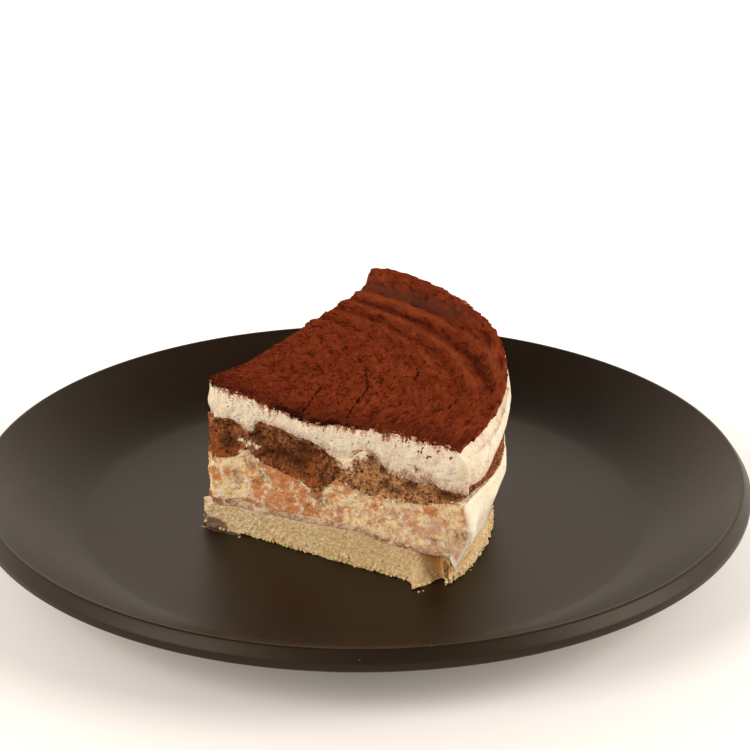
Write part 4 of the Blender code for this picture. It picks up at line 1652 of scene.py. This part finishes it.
def make_camera():
    data = bpy.data.cameras.new("camera")
    data.lens = CAMERA_LENS
    data.sensor_width = SENSOR_WIDTH
    data.clip_start = 0.01
    camera = link_object("camera", data)
    camera.location = CAMERA_PLACE
    look = Matrix.Rotation(math.radians(90 - CAMERA_PITCH), 3, "X")
    camera.rotation_euler = (look @ Matrix.Rotation(math.radians(CAMERA_ROLL), 3, "Z")).to_euler()
    bpy.context.scene.camera = camera


LAYERS = (
    ("crumb_base", "base_sponge", plate_floor, base_top, BASE_RADII, 30,
     base_relief, base_masks, base_sponge_finish),
    ("coffee_line", "coffee_seam", base_top, seam_top, INNER_RADII, 8,
     seam_relief, seam_masks, seam_finish),
    ("mottled_cream", "stained_cream", seam_top, coffee_foot, INNER_RADII, 44,
     stained_relief, stained_masks, lambda: stained_cream_finish("mottled_cream")),
    ("soaked_sponge", "coffee_sponge", coffee_foot, coffee_head, COFFEE_RADII, 36,
     coffee_relief, coffee_masks, coffee_sponge_finish),
    ("whipped_cream", "upper_cream", coffee_head, cream_top, CREAM_RADII, 36,
     upper_relief, upper_masks, cream_finish, LID_INSETS),
)


class CAKE_OT_plate(bpy.types.Operator):
    """Spin the satin plate"""

    bl_idname = "cake.plate"
    bl_label = "Plate"

    def execute(self, context):
        make_plate()
        return {"FINISHED"}


class CAKE_OT_layers(bpy.types.Operator):
    """Build the sponge and cream layers of the slice"""

    bl_idname = "cake.layers"
    bl_label = "Layers"

    def execute(self, context):
        for layer in LAYERS:
            make_layer(*layer)
        return {"FINISHED"}


class CAKE_OT_coat(bpy.types.Operator):
    """Spread the coat of cream round the rim"""

    bl_idname = "cake.coat"
    bl_label = "Rim coat"

    def execute(self, context):
        make_rim_coat()
        return {"FINISHED"}


class CAKE_OT_cocoa(bpy.types.Operator):
    """Dust the top with cocoa"""

    bl_idname = "cake.cocoa"
    bl_label = "Cocoa"

    def execute(self, context):
        make_cocoa()
        return {"FINISHED"}


class CAKE_OT_crumbs(bpy.types.Operator):
    """Scatter cocoa specks, sponge crumbs and a little syrup"""

    bl_idname = "cake.crumbs"
    bl_label = "Crumbs"

    def execute(self, context):
        make_specks(bpy.data.objects["whipped_cream"])
        make_crumbs(bpy.data.objects["crumb_base"])
        make_syrup()
        return {"FINISHED"}


class CAKE_OT_stage(bpy.types.Operator):
    """Set the floor, the walls, the lights and the camera"""

    bl_idname = "cake.stage"
    bl_label = "Stage"

    def execute(self, context):
        make_camera()
        make_stage()
        make_world()
        for softbox in SOFTBOXES:
            add_softbox(*softbox)
        context.scene.view_settings.view_transform = "Standard"
        return {"FINISHED"}


class CAKE_PT_panel(bpy.types.Panel):
    """The slice's sizes, its colours and its operators"""

    bl_label = "Cake"
    bl_idname = "CAKE_PT_panel"
    bl_space_type = "VIEW_3D"
    bl_region_type = "UI"
    bl_category = "Cake"

    def draw(self, context):
        layout = self.layout
        for group in (context.scene.cake_sizes, context.scene.plate_sizes, context.scene.cake_colours):
            for name in group.__annotations__:
                layout.prop(group, name)
        for operator in OPERATORS:
            layout.operator(operator.bl_idname)


OPERATORS = (CAKE_OT_stage, CAKE_OT_plate, CAKE_OT_layers, CAKE_OT_coat, CAKE_OT_cocoa, CAKE_OT_crumbs)
GROUPS = {"cake_sizes": CakeSizes, "plate_sizes": PlateSizes, "cake_colours": CakeColours}


def register():
    for group in GROUPS.values():
        bpy.utils.register_class(group)
    for name, group in GROUPS.items():
        setattr(bpy.types.Scene, name, PointerProperty(type=group))
    for operator in OPERATORS:
        bpy.utils.register_class(operator)
    bpy.utils.register_class(CAKE_PT_panel)


def unregister():
    bpy.utils.unregister_class(CAKE_PT_panel)
    for operator in reversed(OPERATORS):
        bpy.utils.unregister_class(operator)
    for name, group in GROUPS.items():
        delattr(bpy.types.Scene, name)
        bpy.utils.unregister_class(group)


def main():
    register()
    bpy.ops.cake.stage()
    bpy.ops.cake.plate()
    bpy.ops.cake.layers()
    bpy.ops.cake.coat()
    bpy.ops.cake.cocoa()
    bpy.ops.cake.crumbs()


if __name__ == "__main__":
    main()
